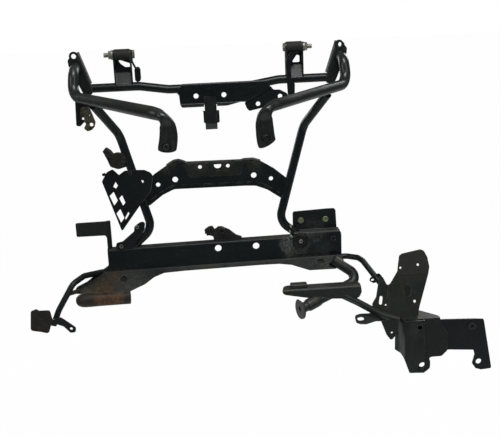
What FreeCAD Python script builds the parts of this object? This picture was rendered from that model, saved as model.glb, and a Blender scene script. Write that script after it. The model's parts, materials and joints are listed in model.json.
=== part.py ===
import FreeCAD, Part
import math
import os

# Front stay of a large motorcycle: welded tubes and pressings that carry the fairing.
# Millimetres. X runs to the right, Y away from the viewer, Z up. The origin is the left
# of the two holes in the lower channel, on its front face and on the stay's centre plane.

V = FreeCAD.Vector

os.makedirs("parts", exist_ok=True)

# Sheet and tube stock
sheet_t = 2.3
thin_sheet_t = 1.6
frame_tube_r = 7.95
arm_tube_r = 9.55
rod_r = 5.5
tube_wall = 1.6
bend_r = 3.0

# Upper cross tube and what stands on it
cross_y = 40.0
cross_mid_z = 299.0
cross_end_z = 307.3
cross_bend_in_x = 75.0
cross_bend_out_x = 128.0
cross_end_x = 226.0
cross_bend_r = 60.0
cross_bore_depth = 60.0
post_back_y = cross_y - frame_tube_r

# Lug plates at the ends of the cross tube
lug_hole_x = 240.5
lug_hole_z = 367.0
lug_hole_r = 4.5
lug_flange_depth = 16.0
lug_fold_foot = (213.3, 317.0)
lug_fold_head = (232.0, 373.7)
right_spread = 3.0

# Arms that reach forward to the flattened paddles
arm_start_x = 240.0
arm_start_z = 344.0
arm_shoulder_y = 2.0
arm_elbow = (243.5, -8.0, 300.0)
arm_shoulder_r = 17.0
arm_elbow_r = 27.0
arm_wrist = (75.7, -205.0, 289.0)
arm_wrist_r = 12.0
arm_round_length = 11.0
arm_neck_length = 16.0
paddle_x = 79.0
paddle_y = -209.6
paddle_tip_z = 232.0
paddle_flat_z = 262.0
paddle_half_width = 14.75
paddle_half_thickness = 2.3
paddle_hole_z = 240.5
paddle_hole_r = 4.2

# Side tubes from the arms down to the lower channel
side_top = (198.6, -48.0, 281.0)
side_top_extra = 13.0
side_upper_bend = (169.0, 10.0, 225.0)
left_side_lower_bend = (-122.0, 10.0, 44.0)
right_side_lower_bend = (118.5, 10.0, 44.0)
side_foot = (158.0, 10.0, 12.0)
side_upper_bend_r = 34.0
side_lower_bend_r = 30.0

# Lower channel
channel_left_x = -208.0
channel_right_x = 236.0
channel_top_z = 12.7
channel_fold_z = -31.0
channel_flange_depth = 17.0
channel_lip_angle = 36.0
channel_lip_reach = 70.0
channel_tilt = 0.7
channel_hole_r = 6.3
channel_hole_pitch = 72.0

# Bush posts
bush_z = 365.5
bush_y = 40.0
bush_outer_r = 10.0
bush_sleeve_r = 6.0
bush_bolt_r = 4.0
bush_bolt_play = 0.15
bush_ear_in_x = 139.0
bush_ear_out_x = 171.5
ear_r = 8.6


def path_edges(points, radii, closed):
    """Straight edges through the points, each corner turned by an arc of its radius."""
    corners = [V(*point) for point in points]
    count = len(corners)
    starts = []
    middles = []
    ends = []
    for i in range(count):
        here = corners[i]
        at_end = not closed and i in (0, count - 1)
        if at_end or radii[i] <= 0:
            starts.append(here)
            middles.append(None)
            ends.append(here)
            continue
        back = (corners[i - 1] - here).normalize()
        ahead = (corners[(i + 1) % count] - here).normalize()
        half = back.getAngle(ahead) / 2
        reach = radii[i] / math.tan(half)
        bisector = (back + ahead).normalize()
        centre = here + bisector * (radii[i] / math.sin(half))
        starts.append(here + back * reach)
        middles.append(centre - bisector * radii[i])
        ends.append(here + ahead * reach)
    edges = []
    for i in range(count):
        if middles[i] is not None:
            edges.append(Part.Arc(starts[i], middles[i], ends[i]).toShape())
        if closed or i < count - 1:
            following = starts[(i + 1) % count]
            if ends[i].distanceToPoint(following) > 1e-6:
                edges.append(Part.LineSegment(ends[i], following).toShape())
    return edges


def outline_face(points, radii):
    """Flat face inside a closed outline; radii is one corner radius or a list of them."""
    if not isinstance(radii, (list, tuple)):
        radii = [radii] * len(points)
    flat = [(x, y, 0) for x, y in points]
    face = Part.Face(Part.Wire(path_edges(flat, radii, True)))
    if not face.isValid():
        raise ValueError("outline crosses itself: " + str(points))
    return face


def place(shape, origin, x_dir, y_dir):
    """Set a shape drawn about its own axes down at origin with its X and Y as given."""
    across = V(*x_dir).normalize()
    normal = across.cross(V(*y_dir)).normalize()
    along = normal.cross(across)
    frame = FreeCAD.Matrix(
        across.x, along.x, normal.x, origin[0],
        across.y, along.y, normal.y, origin[1],
        across.z, along.z, normal.z, origin[2],
        0, 0, 0, 1)
    moved = shape.copy()
    moved.Placement = FreeCAD.Placement(frame).multiply(moved.Placement)
    return moved


def facing_viewer(shape, face_y):
    """Stand a shape up in the XZ plane with its drawn face at Y = face_y."""
    return place(shape, (0, face_y, 0), (1, 0, 0), (0, 0, 1))


def round_hole(x, y, radius):
    """Cutter for a round hole through a sheet drawn in XY."""
    return Part.makeCylinder(radius, 80, V(x, y, -40))


def slot_hole(x, y, length, width, angle):
    """Cutter for a slot through a sheet drawn in XY, turned by angle degrees."""
    half = (length - width) / 2
    end_r = width / 2
    side_a = Part.LineSegment(V(-half, end_r, 0), V(half, end_r, 0)).toShape()
    side_b = Part.LineSegment(V(half, -end_r, 0), V(-half, -end_r, 0)).toShape()
    cap_a = Part.Arc(V(half, end_r, 0), V(half + end_r, 0, 0), V(half, -end_r, 0)).toShape()
    cap_b = Part.Arc(V(-half, -end_r, 0), V(-half - end_r, 0, 0), V(-half, end_r, 0)).toShape()
    cutter = Part.Face(Part.Wire([side_a, cap_a, side_b, cap_b])).extrude(V(0, 0, 80))
    cutter.translate(V(0, 0, -40))
    cutter.rotate(V(0, 0, 0), V(0, 0, 1), angle)
    cutter.translate(V(x, y, 0))
    return cutter


def window(points, radius):
    """Cutter for a window of any outline through a sheet drawn in XY."""
    cutter = outline_face(points, radius).extrude(V(0, 0, 80))
    cutter.translate(V(0, 0, -40))
    return cutter


def sheet(points, radii, thickness, cutters):
    """Flat blank drawn in XY with its thickness below the drawn face, and its holes."""
    blank = outline_face(points, radii).extrude(V(0, 0, -thickness))
    for cutter in cutters:
        blank = blank.cut(cutter)
    return blank


def folded(profile, thickness, inner_r, length):
    """Folded sheet: the profile is its drawn face, the thickness lies to the left of it,
    and it runs along +Z by length."""
    points = [V(x, y, 0) for x, y in profile]
    last = len(points) - 1
    runs = [(points[i + 1] - points[i]).normalize() for i in range(last)]
    lefts = [V(-run.y, run.x, 0) for run in runs]
    far_side = [points[0] + lefts[0] * thickness]
    near_radii = [0]
    far_radii = [0]
    for i in range(1, last):
        spread = thickness / (1 + lefts[i - 1].dot(lefts[i]))
        far_side.append(points[i] + (lefts[i - 1] + lefts[i]) * spread)
        turns_left = runs[i - 1].cross(runs[i]).z > 0
        near_radii.append(inner_r + thickness if turns_left else inner_r)
        far_radii.append(inner_r if turns_left else inner_r + thickness)
    far_side.append(points[last] + lefts[last - 1] * thickness)
    near_radii.append(0)
    far_radii.append(0)
    edges = path_edges([tuple(p) for p in points], near_radii, False)
    edges.append(Part.LineSegment(points[last], far_side[last]).toShape())
    edges += path_edges([tuple(p) for p in reversed(far_side)], far_radii[::-1], False)
    edges.append(Part.LineSegment(far_side[0], points[0]).toShape())
    return Part.Face(Part.Wire(edges)).extrude(V(0, 0, length))


def ring_face(centre, direction, outer, inner):
    """Disc or ring across the given direction, the start of a bar or of a tube."""
    disc = Part.Face(Part.Wire(Part.Circle(centre, direction, outer).toShape()))
    if inner <= 0:
        return disc
    bore = Part.Face(Part.Wire(Part.Circle(centre, direction, inner).toShape()))
    return disc.cut(bore).Faces[0]


def tube(points, bends, outer, inner):
    """Round bar or tube: straight runs between the points joined by true bends."""
    knots = [V(*point) for point in points]
    start = knots[0]
    pieces = []
    for i in range(1, len(knots)):
        run = (knots[i] - knots[i - 1]).normalize()
        stop = knots[i]
        turns = i < len(knots) - 1
        if turns:
            following = (knots[i + 1] - knots[i]).normalize()
            angle = run.getAngle(following)
            stop = knots[i] - run * (bends[i - 1] * math.tan(angle / 2))
        pieces.append(ring_face(start, run, outer, inner).extrude(stop - start))
        if turns:
            axis = run.cross(following).normalize()
            centre = stop + axis.cross(run) * bends[i - 1]
            bend = ring_face(stop, run, outer, inner)
            pieces.append(bend.revolve(centre, axis, math.degrees(angle)))
            start = knots[i] + following * (bends[i - 1] * math.tan(angle / 2))
    body = pieces[0]
    if len(pieces) > 1:
        body = body.fuse(pieces[1:]).removeSplitter()
    return body


def main_piece(shape):
    """The largest solid left after a trim."""
    return max(shape.Solids, key=lambda solid: solid.Volume)


def mirrored(shape):
    """The same piece on the other side of the centre plane."""
    return shape.mirror(V(0, 0, 0), V(1, 0, 0))


def box(x0, x1, y0, y1, z0, z1):
    """Block between two corners."""
    return Part.makeBox(x1 - x0, y1 - y0, z1 - z0, V(x0, y0, z0))


def prism(sides, across_flats, height):
    """Upright prism on the XY plane, such as a hexagon head."""
    corner = across_flats / 2 / math.cos(math.pi / sides)
    turn = math.pi / sides
    rim = []
    for i in range(sides):
        angle = turn + i * 2 * turn
        rim.append((corner * math.cos(angle), corner * math.sin(angle)))
    return outline_face(rim, 0).extrude(V(0, 0, height))


def along_x(shape, x, y, z, towards):
    """Lay an upright shape down so that its own Z runs along the X axis."""
    return place(shape, (x, y, z), (0, 1, 0), (0, 0, towards))


nodes = {}


# Upper cross tube

cross_path = [
    (-cross_end_x, cross_y, cross_end_z),
    (-cross_bend_out_x, cross_y, cross_end_z),
    (-cross_bend_in_x, cross_y, cross_mid_z),
    (cross_bend_in_x, cross_y, cross_mid_z),
    (cross_bend_out_x, cross_y, cross_end_z),
    (cross_end_x + right_spread, cross_y, cross_end_z)]
cross_bends = [cross_bend_r] * 4
cross_bar = tube(cross_path, cross_bends, frame_tube_r, 0)
cross_tube = cross_bar
for end_x, inwards in ((-cross_end_x, 1), (cross_end_x + right_spread, -1)):
    mouth = ring_face(V(end_x, cross_y, cross_end_z), V(1, 0, 0), frame_tube_r - tube_wall, 0)
    cross_tube = cross_tube.cut(mouth.extrude(V(inwards * cross_bore_depth, 0, 0)))
nodes["upper_cross_tube"] = cross_tube


# Lug plates: a plate behind each arm with a flange turned back along its inner edge

lug_front_y = post_back_y - sheet_t


def make_lug_plate():
    foot_x, foot_z = lug_fold_foot
    head_x, head_z = lug_fold_head
    fold_length = math.hypot(head_x - foot_x, head_z - foot_z)
    profile = [(60, 0), (0, 0), (0, lug_flange_depth)]
    bent = mirror_profile(profile)
    bent = folded(bent, sheet_t, bend_r, fold_length + 60)
    bent.translate(V(0, 0, -30))
    bent = place(
        bent, (foot_x, lug_front_y, foot_z),
        (head_z - foot_z, 0, foot_x - head_x), (0, 1, 0))
    rim = [
        (foot_x, foot_z), (212.0, 297.0), (229.0, 298.5), (251.0, 350.0),
        (252.0, 360.0), (247.3, 366.0), (248.0, 370.0), (head_x, head_z)]
    blank = outline_face(rim, [0, 4, 8, 6, 4, 3, 4, 1]).extrude(V(0, 0, -60))
    body = bent.common(facing_viewer(blank, lug_front_y - 10))
    body = body.cut(box(200, 260, post_back_y, 90, 280, foot_z))
    hole = facing_viewer(round_hole(lug_hole_x, lug_hole_z, lug_hole_r), lug_front_y)
    return main_piece(body.cut(hole))


def mirror_profile(profile):
    """The same profile run from its other end, which puts the thickness on its other side."""
    return list(reversed(profile))


nodes["left_lug_plate"] = mirrored(make_lug_plate())
nodes["right_lug_plate"] = make_lug_plate()
nodes["right_lug_plate"].translate(V(right_spread, 0, 0))


# Arms: round tube out of the lug plate, bent forward, its end pressed flat as a paddle

def make_arm(spread):
    wrist = V(*arm_wrist)
    elbow = V(*arm_elbow) + V(spread, 0, 0)
    flat_start = V(paddle_x, paddle_y, paddle_flat_z)
    down = (flat_start - wrist).normalize()
    level = (V(1, 0, 0) - down * down.x).normalize()
    round_end = wrist + down * arm_round_length
    path = [
        (arm_start_x + spread, lug_front_y, arm_start_z),
        (arm_start_x + spread, arm_shoulder_y, arm_start_z),
        tuple(elbow), tuple(wrist), tuple(round_end)]
    body = tube(path, [arm_shoulder_r, arm_elbow_r, arm_wrist_r], arm_tube_r, 0)
    circle = Part.Circle()
    circle.Radius = arm_tube_r
    across = tuple(level)
    through = tuple(down.cross(level))
    rings = [place(Part.Wire(circle.toShape()), tuple(round_end), across, through)]
    for share in (0.5, 1.0):
        middle = round_end + down * arm_neck_length * share
        wide = arm_tube_r + (paddle_half_width - arm_tube_r) * math.sqrt(share)
        thin = arm_tube_r + (paddle_half_thickness - arm_tube_r) * share
        oval = Part.Wire(Part.Ellipse(V(0, 0, 0), wide, thin).toShape())
        rings.append(place(oval, tuple(middle), across, through))
    neck = Part.makeLoft(rings, True, False)
    blade = sheet(
        [(-paddle_half_width - 5, 290.0), (-paddle_half_width, paddle_tip_z),
         (paddle_half_width, paddle_tip_z), (paddle_half_width + 5, 290.0)],
        [0, 6.0, 6.0, 0], 60, [])
    blade.translate(V(paddle_x, 0, 0))
    blade = facing_viewer(blade, paddle_y - 30)
    paddle = Part.Face(rings[-1]).extrude(down * 60).common(blade)
    body = body.fuse([neck, paddle])
    hole = facing_viewer(round_hole(paddle_x, paddle_hole_z, paddle_hole_r), paddle_y)
    return main_piece(body.cut(hole))


right_arm = make_arm(right_spread)
left_arm = mirrored(make_arm(0))
nodes["left_arm_tube"] = left_arm
nodes["right_arm_tube"] = right_arm


# Side tubes: welded under the arms, bent inwards, then out again onto the channel

def tilted(shape):
    """Turn a shape with the lower channel, whose right end stands a little higher."""
    turned = shape.copy()
    turned.rotate(V(0, 0, 0), V(0, 1, 0), -channel_tilt)
    return turned


below_flange = tilted(box(-320, 320, -80, 80, -120, channel_top_z))


def make_side_tube(arm, side, lower_bend):
    top = V(side * side_top[0], side_top[1], side_top[2])
    upper_bend = V(side * side_upper_bend[0], side_upper_bend[1], side_upper_bend[2])
    rise = (top - upper_bend).normalize()
    foot = V(side * side_foot[0], side_foot[1], side_foot[2])
    fall = (foot - V(*lower_bend)).normalize()
    path = [
        tuple(top + rise * side_top_extra), tuple(upper_bend), lower_bend,
        tuple(foot + fall * 20)]
    body = tube(path, [side_upper_bend_r, side_lower_bend_r], frame_tube_r, 0)
    return main_piece(body.cut(arm))


left_side = make_side_tube(left_arm, -1, left_side_lower_bend)
left_side = main_piece(left_side.cut(below_flange))
right_side = make_side_tube(right_arm, 1, right_side_lower_bend)
right_side = main_piece(right_side.cut(below_flange))
nodes["left_side_tube"] = left_side
nodes["right_side_tube"] = right_side


# Centre channel: pressing across the front of the cross tube, its lower edge turned forward

hanger_width = 22.0
centre_hole_x = 25.6
centre_hole_z = 285.4
centre_hole_r = 4.6


def make_centre_channel():
    lip = 8.0
    lip_angle = math.radians(35)
    fold_z = 271.5
    profile = [
        (lug_front_y + 9, 309.5), (lug_front_y, 309.5), (lug_front_y, fold_z),
        (lug_front_y - lip * math.cos(lip_angle), fold_z - lip * math.sin(lip_angle))]
    body = folded(profile, sheet_t, bend_r, 240)
    body = place(body, (-120, 0, 0), (0, 1, 0), (0, 0, 1))
    rim = [
        (-48.0, 310.0), (-61.8, 294.0), (-56.7, 288.0), (-55.4, 270.5), (-52.0, 266.0),
        (30.0, 266.0), (56.0, 271.0), (64.5, 270.5), (110.0, 292.5), (112.0, 304.0),
        (84.0, 310.0)]
    blank = outline_face(rim, [2, 4, 4, 4, 4, 20, 8, 3, 6, 4, 4]).extrude(V(0, 0, -60))
    body = body.common(facing_viewer(blank, lug_front_y - 20))
    for side in (-1, 1):
        hole = round_hole(side * centre_hole_x, centre_hole_z, centre_hole_r)
        body = body.cut(facing_viewer(hole, lug_front_y))
    notch = hanger_width / 2 + 1
    body = body.cut(box(-notch, notch, -20, lug_front_y - 0.01, 240, fold_z + 4))
    body = body.cut(box(-70, 120, post_back_y, 90, 290, 320))
    return main_piece(body.cut(cross_bar))


nodes["centre_channel"] = make_centre_channel()


# Tab plate welded behind the right end of the centre channel

centre_tab_holes = [(88.2, 265.3), (129.5, 277.5)]


def make_centre_tab():
    rim = [
        (63.6, 267.0), (66.5, 259.0), (71.0, 252.5), (93.0, 256.9), (146.0, 270.0),
        (143.0, 282.0), (129.2, 289.6), (118.0, 289.8), (113.0, 296.5), (104.0, 296.5),
        (72.0, 285.0)]
    holes = [round_hole(x, z, 4.2) for x, z in centre_tab_holes]
    body = sheet(rim, [3, 3, 5, 10, 4, 6, 6, 5, 3, 3, 3], sheet_t, holes)
    return main_piece(facing_viewer(body, post_back_y).cut(cross_bar))


nodes["centre_tab_plate"] = make_centre_tab()


# Clip plate under the left arm with a sheet-metal speed clip on its front

clip_plate_y = -26.0


def make_clip_plate():
    rim = [
        (-238.0, 297.0), (-212.0, 297.0), (-216.0, 266.0), (-226.0, 256.0), (-233.0, 249.5),
        (-240.0, 250.5)]
    body = sheet(rim, [0, 0, 4, 6, 3, 3], sheet_t, [round_hole(-227.0, 263.0, 2.2)])
    return main_piece(facing_viewer(body, clip_plate_y).cut(left_arm))


def make_speed_clip():
    rim = [
        (-230.0, 283.0), (-214.5, 284.5), (-205.5, 256.0), (-208.0, 247.5), (-213.0, 242.5),
        (-221.0, 240.0), (-227.0, 246.0), (-222.0, 254.0), (-231.0, 262.0)]
    cutters = [
        slot_hole(-226.5, 263.0, 9.0, 3.4, 80),
        round_hole(-216.0, 268.6, 1.4),
        round_hole(-213.0, 252.0, 3.2)]
    body = sheet(rim, [2, 2, 3, 2, 3, 4, 3, 3, 3], thin_sheet_t, cutters)
    return facing_viewer(body, clip_plate_y - thin_sheet_t)


nodes["left_clip_plate"] = make_clip_plate()
nodes["speed_clip"] = make_speed_clip()


# Hanger strap on the channel's front with a spring clip behind its lower end

def make_hanger():
    half = hanger_width / 2
    profile = [(lug_front_y - 2.0, 284.5), (lug_front_y - 2.0, 234.0), (lug_front_y - 6.0, 224.0)]
    body = folded(profile, 2.0, bend_r, hanger_width)
    return place(body, (-half, 0, 0), (0, 1, 0), (0, 0, 1))


def make_hanger_clip():
    rim = [
        (-15.2, 257.0), (-13.8, 255.5), (-13.8, 237.5), (-13.8, 236.0), (-9.0, 233.0),
        (9.0, 233.0), (14.6, 235.0), (15.7, 236.5), (15.5, 257.0)]
    body = sheet(rim, 0, 5.0, [])
    body = facing_viewer(body, lug_front_y)
    return body.cut(box(-10, 10, lug_front_y + 1.8, 60, 220, 254))


nodes["centre_hanger_tab"] = main_piece(make_hanger().cut(nodes["centre_channel"]))
nodes["hanger_clip"] = make_hanger_clip()


# Bush posts: a folded post with two ears, a rubber bush on a steel sleeve, bolt and nut

ear_t = sheet_t


def bush_ring(outer, inner, x0, x1):
    ring = ring_face(V(x0, bush_y, bush_z), V(1, 0, 0), outer, inner)
    return ring.extrude(V(x1 - x0, 0, 0))


def make_post(window_cutter):
    """Post seen as the right-hand one: ears to left and right, web at the back."""
    body = None
    for x in (bush_ear_in_x, bush_ear_out_x - ear_t):
        ear_rim = [
            (bush_y - 7.0, 300.0), (bush_y + 7.5, 300.0), (bush_y + ear_r, bush_z + ear_r),
            (bush_y - ear_r, bush_z + ear_r)]
        ear = outline_face(ear_rim, [0, 0, ear_r - 0.5, ear_r - 0.5]).extrude(V(0, 0, ear_t))
        ear = place(ear, (x, 0, 0), (0, 1, 0), (0, 0, 1))
        body = ear if body is None else body.fuse(ear)
    web_foot_y = bush_y - 7.0
    web_back_y = bush_y + 5.0
    profile = [(web_back_y, bush_z - 5), (web_back_y, 333.0), (web_foot_y + 1.0, 312.0)]
    web = folded(profile, sheet_t, bend_r, bush_ear_out_x - bush_ear_in_x)
    web = place(web, (bush_ear_in_x, 0, 0), (0, 1, 0), (0, 0, 1))
    body = body.fuse(web).removeSplitter()
    body = body.cut(window_cutter)
    body = main_piece(body.cut(cross_bar))
    barrel = bush_ring(bush_outer_r, 0, bush_ear_in_x + ear_t, bush_ear_out_x - ear_t)
    bolt_hole = bush_ring(bush_bolt_r + bush_bolt_play, 0, 130, 180)
    return main_piece(body.cut(barrel).cut(bolt_hole))


left_post_window = facing_viewer(
    window([(-164.0, 357.0), (-159.0, 348.5), (-151.0, 342.5), (-142.5, 342.5),
            (-142.5, 349.0)], 1.5), bush_y)
right_post_window = facing_viewer(
    window([(152.0, 337.0), (166.0, 337.0), (166.0, 349.0), (158.0, 351.0)], 2), bush_y)
nodes["left_bush_post"] = mirrored(make_post(mirrored(left_post_window)))
nodes["right_bush_post"] = make_post(right_post_window)
nodes["right_bush_post"].translate(V(right_spread, 0, 0))

bush_in_x = bush_ear_in_x + ear_t
bush_out_x = bush_ear_out_x - ear_t
bush_rubber = bush_ring(bush_outer_r, bush_sleeve_r, bush_in_x, bush_out_x)
bush_sleeve = bush_ring(bush_sleeve_r, bush_bolt_r + bush_bolt_play, bush_in_x, bush_out_x)
side_strap_t = 2.5
bolt_head_h = 4.0
nut_h = 6.5
washer_h = 1.6
bolt_head_x = bush_ear_in_x - side_strap_t
nut_x = bush_ear_out_x + washer_h
bolt_tip_x = 188.0


def make_bush_bolt(head_seat_x):
    shank = bush_ring(bush_bolt_r, 0, head_seat_x, bolt_tip_x)
    head = along_x(prism(6, 13.0, bolt_head_h), head_seat_x, bush_y, bush_z, -1)
    return shank.fuse(head).removeSplitter()


def make_bush_nut():
    flange = bush_ring(8.5, 0, nut_x, nut_x + 1.5)
    nut = along_x(prism(6, 13.0, nut_h), nut_x, bush_y, bush_z, 1)
    bore = bush_ring(bush_bolt_r, 0, nut_x - 1, nut_x + nut_h + 1)
    return flange.fuse(nut).cut(bore).removeSplitter()


bush_washer = bush_ring(8.8, bush_bolt_r + bush_bolt_play, bush_ear_out_x, nut_x)


def spread_right(shape):
    """Copy of a right-hand bush piece moved out with the right post."""
    moved = shape.copy()
    moved.translate(V(right_spread, 0, 0))
    return moved


nodes["left_bush_rubber"] = mirrored(bush_rubber)
nodes["right_bush_rubber"] = spread_right(bush_rubber)
nodes["left_bush_sleeve"] = mirrored(bush_sleeve)
nodes["right_bush_sleeve"] = spread_right(bush_sleeve)
nodes["left_bush_bolt"] = mirrored(make_bush_bolt(bolt_head_x))
nodes["right_bush_bolt"] = spread_right(make_bush_bolt(bush_ear_in_x))
bush_nut = make_bush_nut()
nodes["bush_nuts"] = Part.makeCompound([mirrored(bush_nut), spread_right(bush_nut)])
nodes["bush_washers"] = Part.makeCompound([mirrored(bush_washer), spread_right(bush_washer)])


# Left side strap: from the bolt head down to a rounded pad

def make_left_strap():
    profile = [(-bush_ear_in_x, 373.0), (-bush_ear_in_x, 352.0), (-131.0, 334.0), (-131.0, 322.0)]
    body = folded(profile, side_strap_t, bend_r, 14)
    body = place(body, (0, bush_y + 7, 0), (1, 0, 0), (0, 0, 1))
    pad = sheet([(-134.5, 316.0), (-124.0, 316.0), (-124.0, 342.0), (-134.5, 342.0)],
                5.0, 14, [])
    body = body.fuse(facing_viewer(pad, bush_y - 7)).removeSplitter()
    bolt_hole = bush_ring(bush_bolt_r + bush_bolt_play, 0, 120, 160)
    return body.cut(mirrored(bolt_hole))


nodes["left_side_strap"] = make_left_strap()


# Right side strap: flat strap in front of the post and the cross tube, down to the arm

def make_right_strap():
    rim = [
        (144.0, 276.0), (156.5, 276.0), (157.5, 299.0), (151.5, 307.0), (150.5, 336.0),
        (165.5, 357.0), (150.0, 357.0), (142.5, 347.0), (142.0, 314.0), (142.8, 300.0)]
    holes = [round_hole(147.0, 348.8, 1.8)]
    body = sheet(rim, [2, 2, 4, 4, 4, 2, 3, 6, 10, 10], sheet_t, holes)
    return facing_viewer(body, lug_front_y)


nodes["right_side_strap"] = make_right_strap()


# Middle cross plate: deep pressing between the side tubes

mid_front_y = side_upper_bend[1] - 5.5
mid_large_hole = (73.0, 136.7, 5.2)
mid_small_hole = (105.0, 128.7, 4.0)


def make_middle_plate():
    right_rim = [
        (56.0, 117.5), (76.0, 116.5), (98.0, 107.5), (122.0, 90.5), (139.0, 87.0),
        (147.0, 126.0), (133.0, 129.0), (111.0, 148.0), (87.0, 163.0), (74.0, 167.3),
        (58.0, 167.3), (50.0, 165.4)]
    left_rim = [
        (-50.0, 166.4), (-56.0, 169.5), (-65.0, 172.6), (-75.0, 171.2), (-88.0, 163.5),
        (-111.0, 149.0), (-133.0, 129.0), (-147.0, 126.0), (-139.0, 87.0), (-122.0, 90.5),
        (-98.0, 108.5), (-76.0, 118.5)]
    right_radii = [20, 20, 30, 4, 2, 2, 6, 40, 30, 6, 8, 12]
    left_radii = [10, 6, 6, 8, 30, 40, 6, 2, 2, 4, 30, 20]
    cutters = []
    for side in (-1, 1):
        for x, z, radius in (mid_large_hole, mid_small_hole):
            cutters.append(round_hole(side * x, z, radius))
    cutters.append(round_hole(-26.0, 157.8, 3.5))
    cutters.append(round_hole(25.6, 157.3, 3.5))
    cutters.append(window([(0.0, 161.3), (13.4, 161.3), (13.4, 153.5), (0.0, 153.5)], [0.5, 0.5, 6, 6]))
    face = sheet(right_rim + left_rim, right_radii + left_radii, sheet_t, cutters)
    face = facing_viewer(face, mid_front_y)
    flange = make_middle_flange(left_rim, right_rim)
    bead_line = [
        (-118.0, 99.5), (-98.0, 114.0), (-76.0, 124.0), (76.0, 122.5), (98.0, 113.5),
        (118.0, 99.5)]
    bead = facing_viewer(folded(bead_line, 2.6, 12.0, 1.3), mid_front_y)
    body = face.fuse([flange, bead]).removeSplitter()
    body = body.cut(left_side).cut(right_side)
    return main_piece(body)


def make_middle_flange(left_rim, right_rim):
    """Bent-back upper edge, with the row of holes that shows above the face."""
    depth = 16.0
    top_line = [right_rim[8], right_rim[9], right_rim[10], right_rim[11],
                left_rim[0], left_rim[1], left_rim[2], left_rim[3], left_rim[4]]
    strip = folded(top_line, sheet_t, 6.0, -depth)
    strip = facing_viewer(strip, mid_front_y)
    for x in (-44.0, -20.0, 36.0):
        strip = strip.cut(Part.makeCylinder(3.6, 60, V(x, mid_front_y + 8.2, 150)))
    return strip


nodes["middle_cross_plate"] = make_middle_plate()


# Lower channel: flange on top, face, and a sloping lip that widens into the two shelves

lip_slope = math.radians(channel_lip_angle)
shelf_bolt_hole = (-181.0, 19.0, 7.0)
shelf_slot = (193.5, 12.0)


def on_lip(shape):
    """Set a shape drawn in XY down on the sloping lip, Y counted up the slope."""
    return tilted(place(
        shape, (0, 0, channel_fold_z), (1, 0, 0),
        (0, math.cos(lip_slope), math.sin(lip_slope))))


def make_lower_channel():
    lip_y = -channel_lip_reach * math.cos(lip_slope)
    lip_z = channel_fold_z - channel_lip_reach * math.sin(lip_slope)
    profile = [
        (channel_flange_depth, channel_top_z), (0, channel_top_z),
        (0, channel_fold_z), (lip_y, lip_z)]
    body = folded(profile, sheet_t, bend_r, 540)
    body = tilted(place(body, (-290, 0, 0), (0, 1, 0), (0, 0, 1)))
    rim = [
        (channel_left_x, channel_top_z + 6), (channel_left_x, -21.0), (-223.4, -31.5),
        (-249.4, -45.8), (-268.0, -52.0), (-273.0, -60.5), (-171.0, -62.0),
        (-140.0, -52.7), (-124.0, -44.5), (-105.0, -39.4), (-65.0, -38.0),
        (77.6, -36.0), (115.0, -36.0), (137.7, -38.4), (170.0, -47.0),
        (220.0, -47.0), (239.0, -39.0), (channel_right_x, -28.0),
        (channel_right_x, channel_top_z + 6)]
    radii = [0, 6, 20, 20, 6, 4, 8, 20, 12, 12, 0, 0, 8, 12, 10, 8, 3, 3, 0]
    blank = outline_face(rim, radii).extrude(V(0, 0, -140))
    body = body.common(facing_viewer(blank, -100))
    for x in (0, channel_hole_pitch):
        body = body.cut(facing_viewer(round_hole(x, 0, channel_hole_r), 0))
    x, down, radius = shelf_bolt_hole
    body = body.cut(on_lip(round_hole(x, -down, radius)))
    body = body.cut(on_lip(slot_hole(shelf_slot[0], -shelf_slot[1], 15.0, 10.0, 0)))
    return main_piece(body.cut(skid_bar))


skid_r = 13.0
skid_left_x = -271.0
skid_right_x = -170.0
shelf_end = 51.0
skid_y = -shelf_end * math.cos(lip_slope) + skid_r * math.sin(lip_slope)
skid_z = channel_fold_z - shelf_end * math.sin(lip_slope) - skid_r * math.cos(lip_slope)
skid_length = skid_right_x - skid_left_x
skid_bar = tilted(Part.makeCylinder(
    skid_r, skid_length, V(skid_left_x, skid_y, skid_z), V(1, 0, 0)))
channel = make_lower_channel()
nodes["lower_channel"] = channel


# Skid roll under the left shelf: rolled from sheet, domed left end, open right end

def make_skid_roll():
    body = Part.makeCylinder(skid_r, skid_length, V(0, 0, 0), V(1, 0, 0))
    domed = [edge for edge in body.Edges if edge.BoundBox.XMax < 0.1 and edge.Closed]
    body = body.makeFillet(skid_r * 0.6, domed[:1])
    bore_x = 2 * skid_r
    bore = Part.makeCylinder(
        skid_r - sheet_t, skid_length - bore_x + 5, V(bore_x, 0, 0), V(1, 0, 0))
    body = body.cut(bore)
    body.translate(V(skid_left_x, skid_y, skid_z))
    return main_piece(tilted(body))


nodes["skid_roll"] = make_skid_roll()


# Step bracket standing on the channel's left end

def make_step_bracket():
    profile = [(-262.5, 0), (-207.0, 0), (-198.5, 8.0)]
    body = folded(profile, sheet_t, bend_r, 90)
    rim = [
        (-262.3, 65.0), (-262.3, 38.5), (-209.5, 38.3), (-207.0, 34.0),
        (-207.0, 0.0), (-190.0, 0.0), (-190.0, 62.5), (-206.0, 65.5)]
    blank = outline_face(rim, [3, 3, 3, 2, 0, 0, 0, 0]).extrude(V(0, 0, -60))
    body = body.common(facing_viewer(blank, -20))
    return main_piece(body.cut(below_flange))


nodes["step_bracket"] = make_step_bracket()


# Left lower rod with its link to the shelf and the two plates at its end

end_plate_back_y = -75.7
rod_end_y = end_plate_back_y + rod_r
left_rod_path = [
    (-186.0, sheet_t + rod_r, -35.5), (-217.0, sheet_t + rod_r, -35.0), (-252.0, -25.0, -30.0),
    (-271.0, -45.0, -37.0), (-297.0, rod_end_y, -77.0), (-309.0, rod_end_y, -105.0)]
left_rod = main_piece(tube(left_rod_path, [14, 20, 24, 20], rod_r, 0).cut(channel))
nodes["left_lower_rod"] = left_rod
link = tube([(-281.4, -55.0, -53.0), (-262.0, -36.0, -54.5)], [], 4.0, 0)
nodes["rod_link"] = main_piece(link.cut(left_rod).cut(channel))


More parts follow.
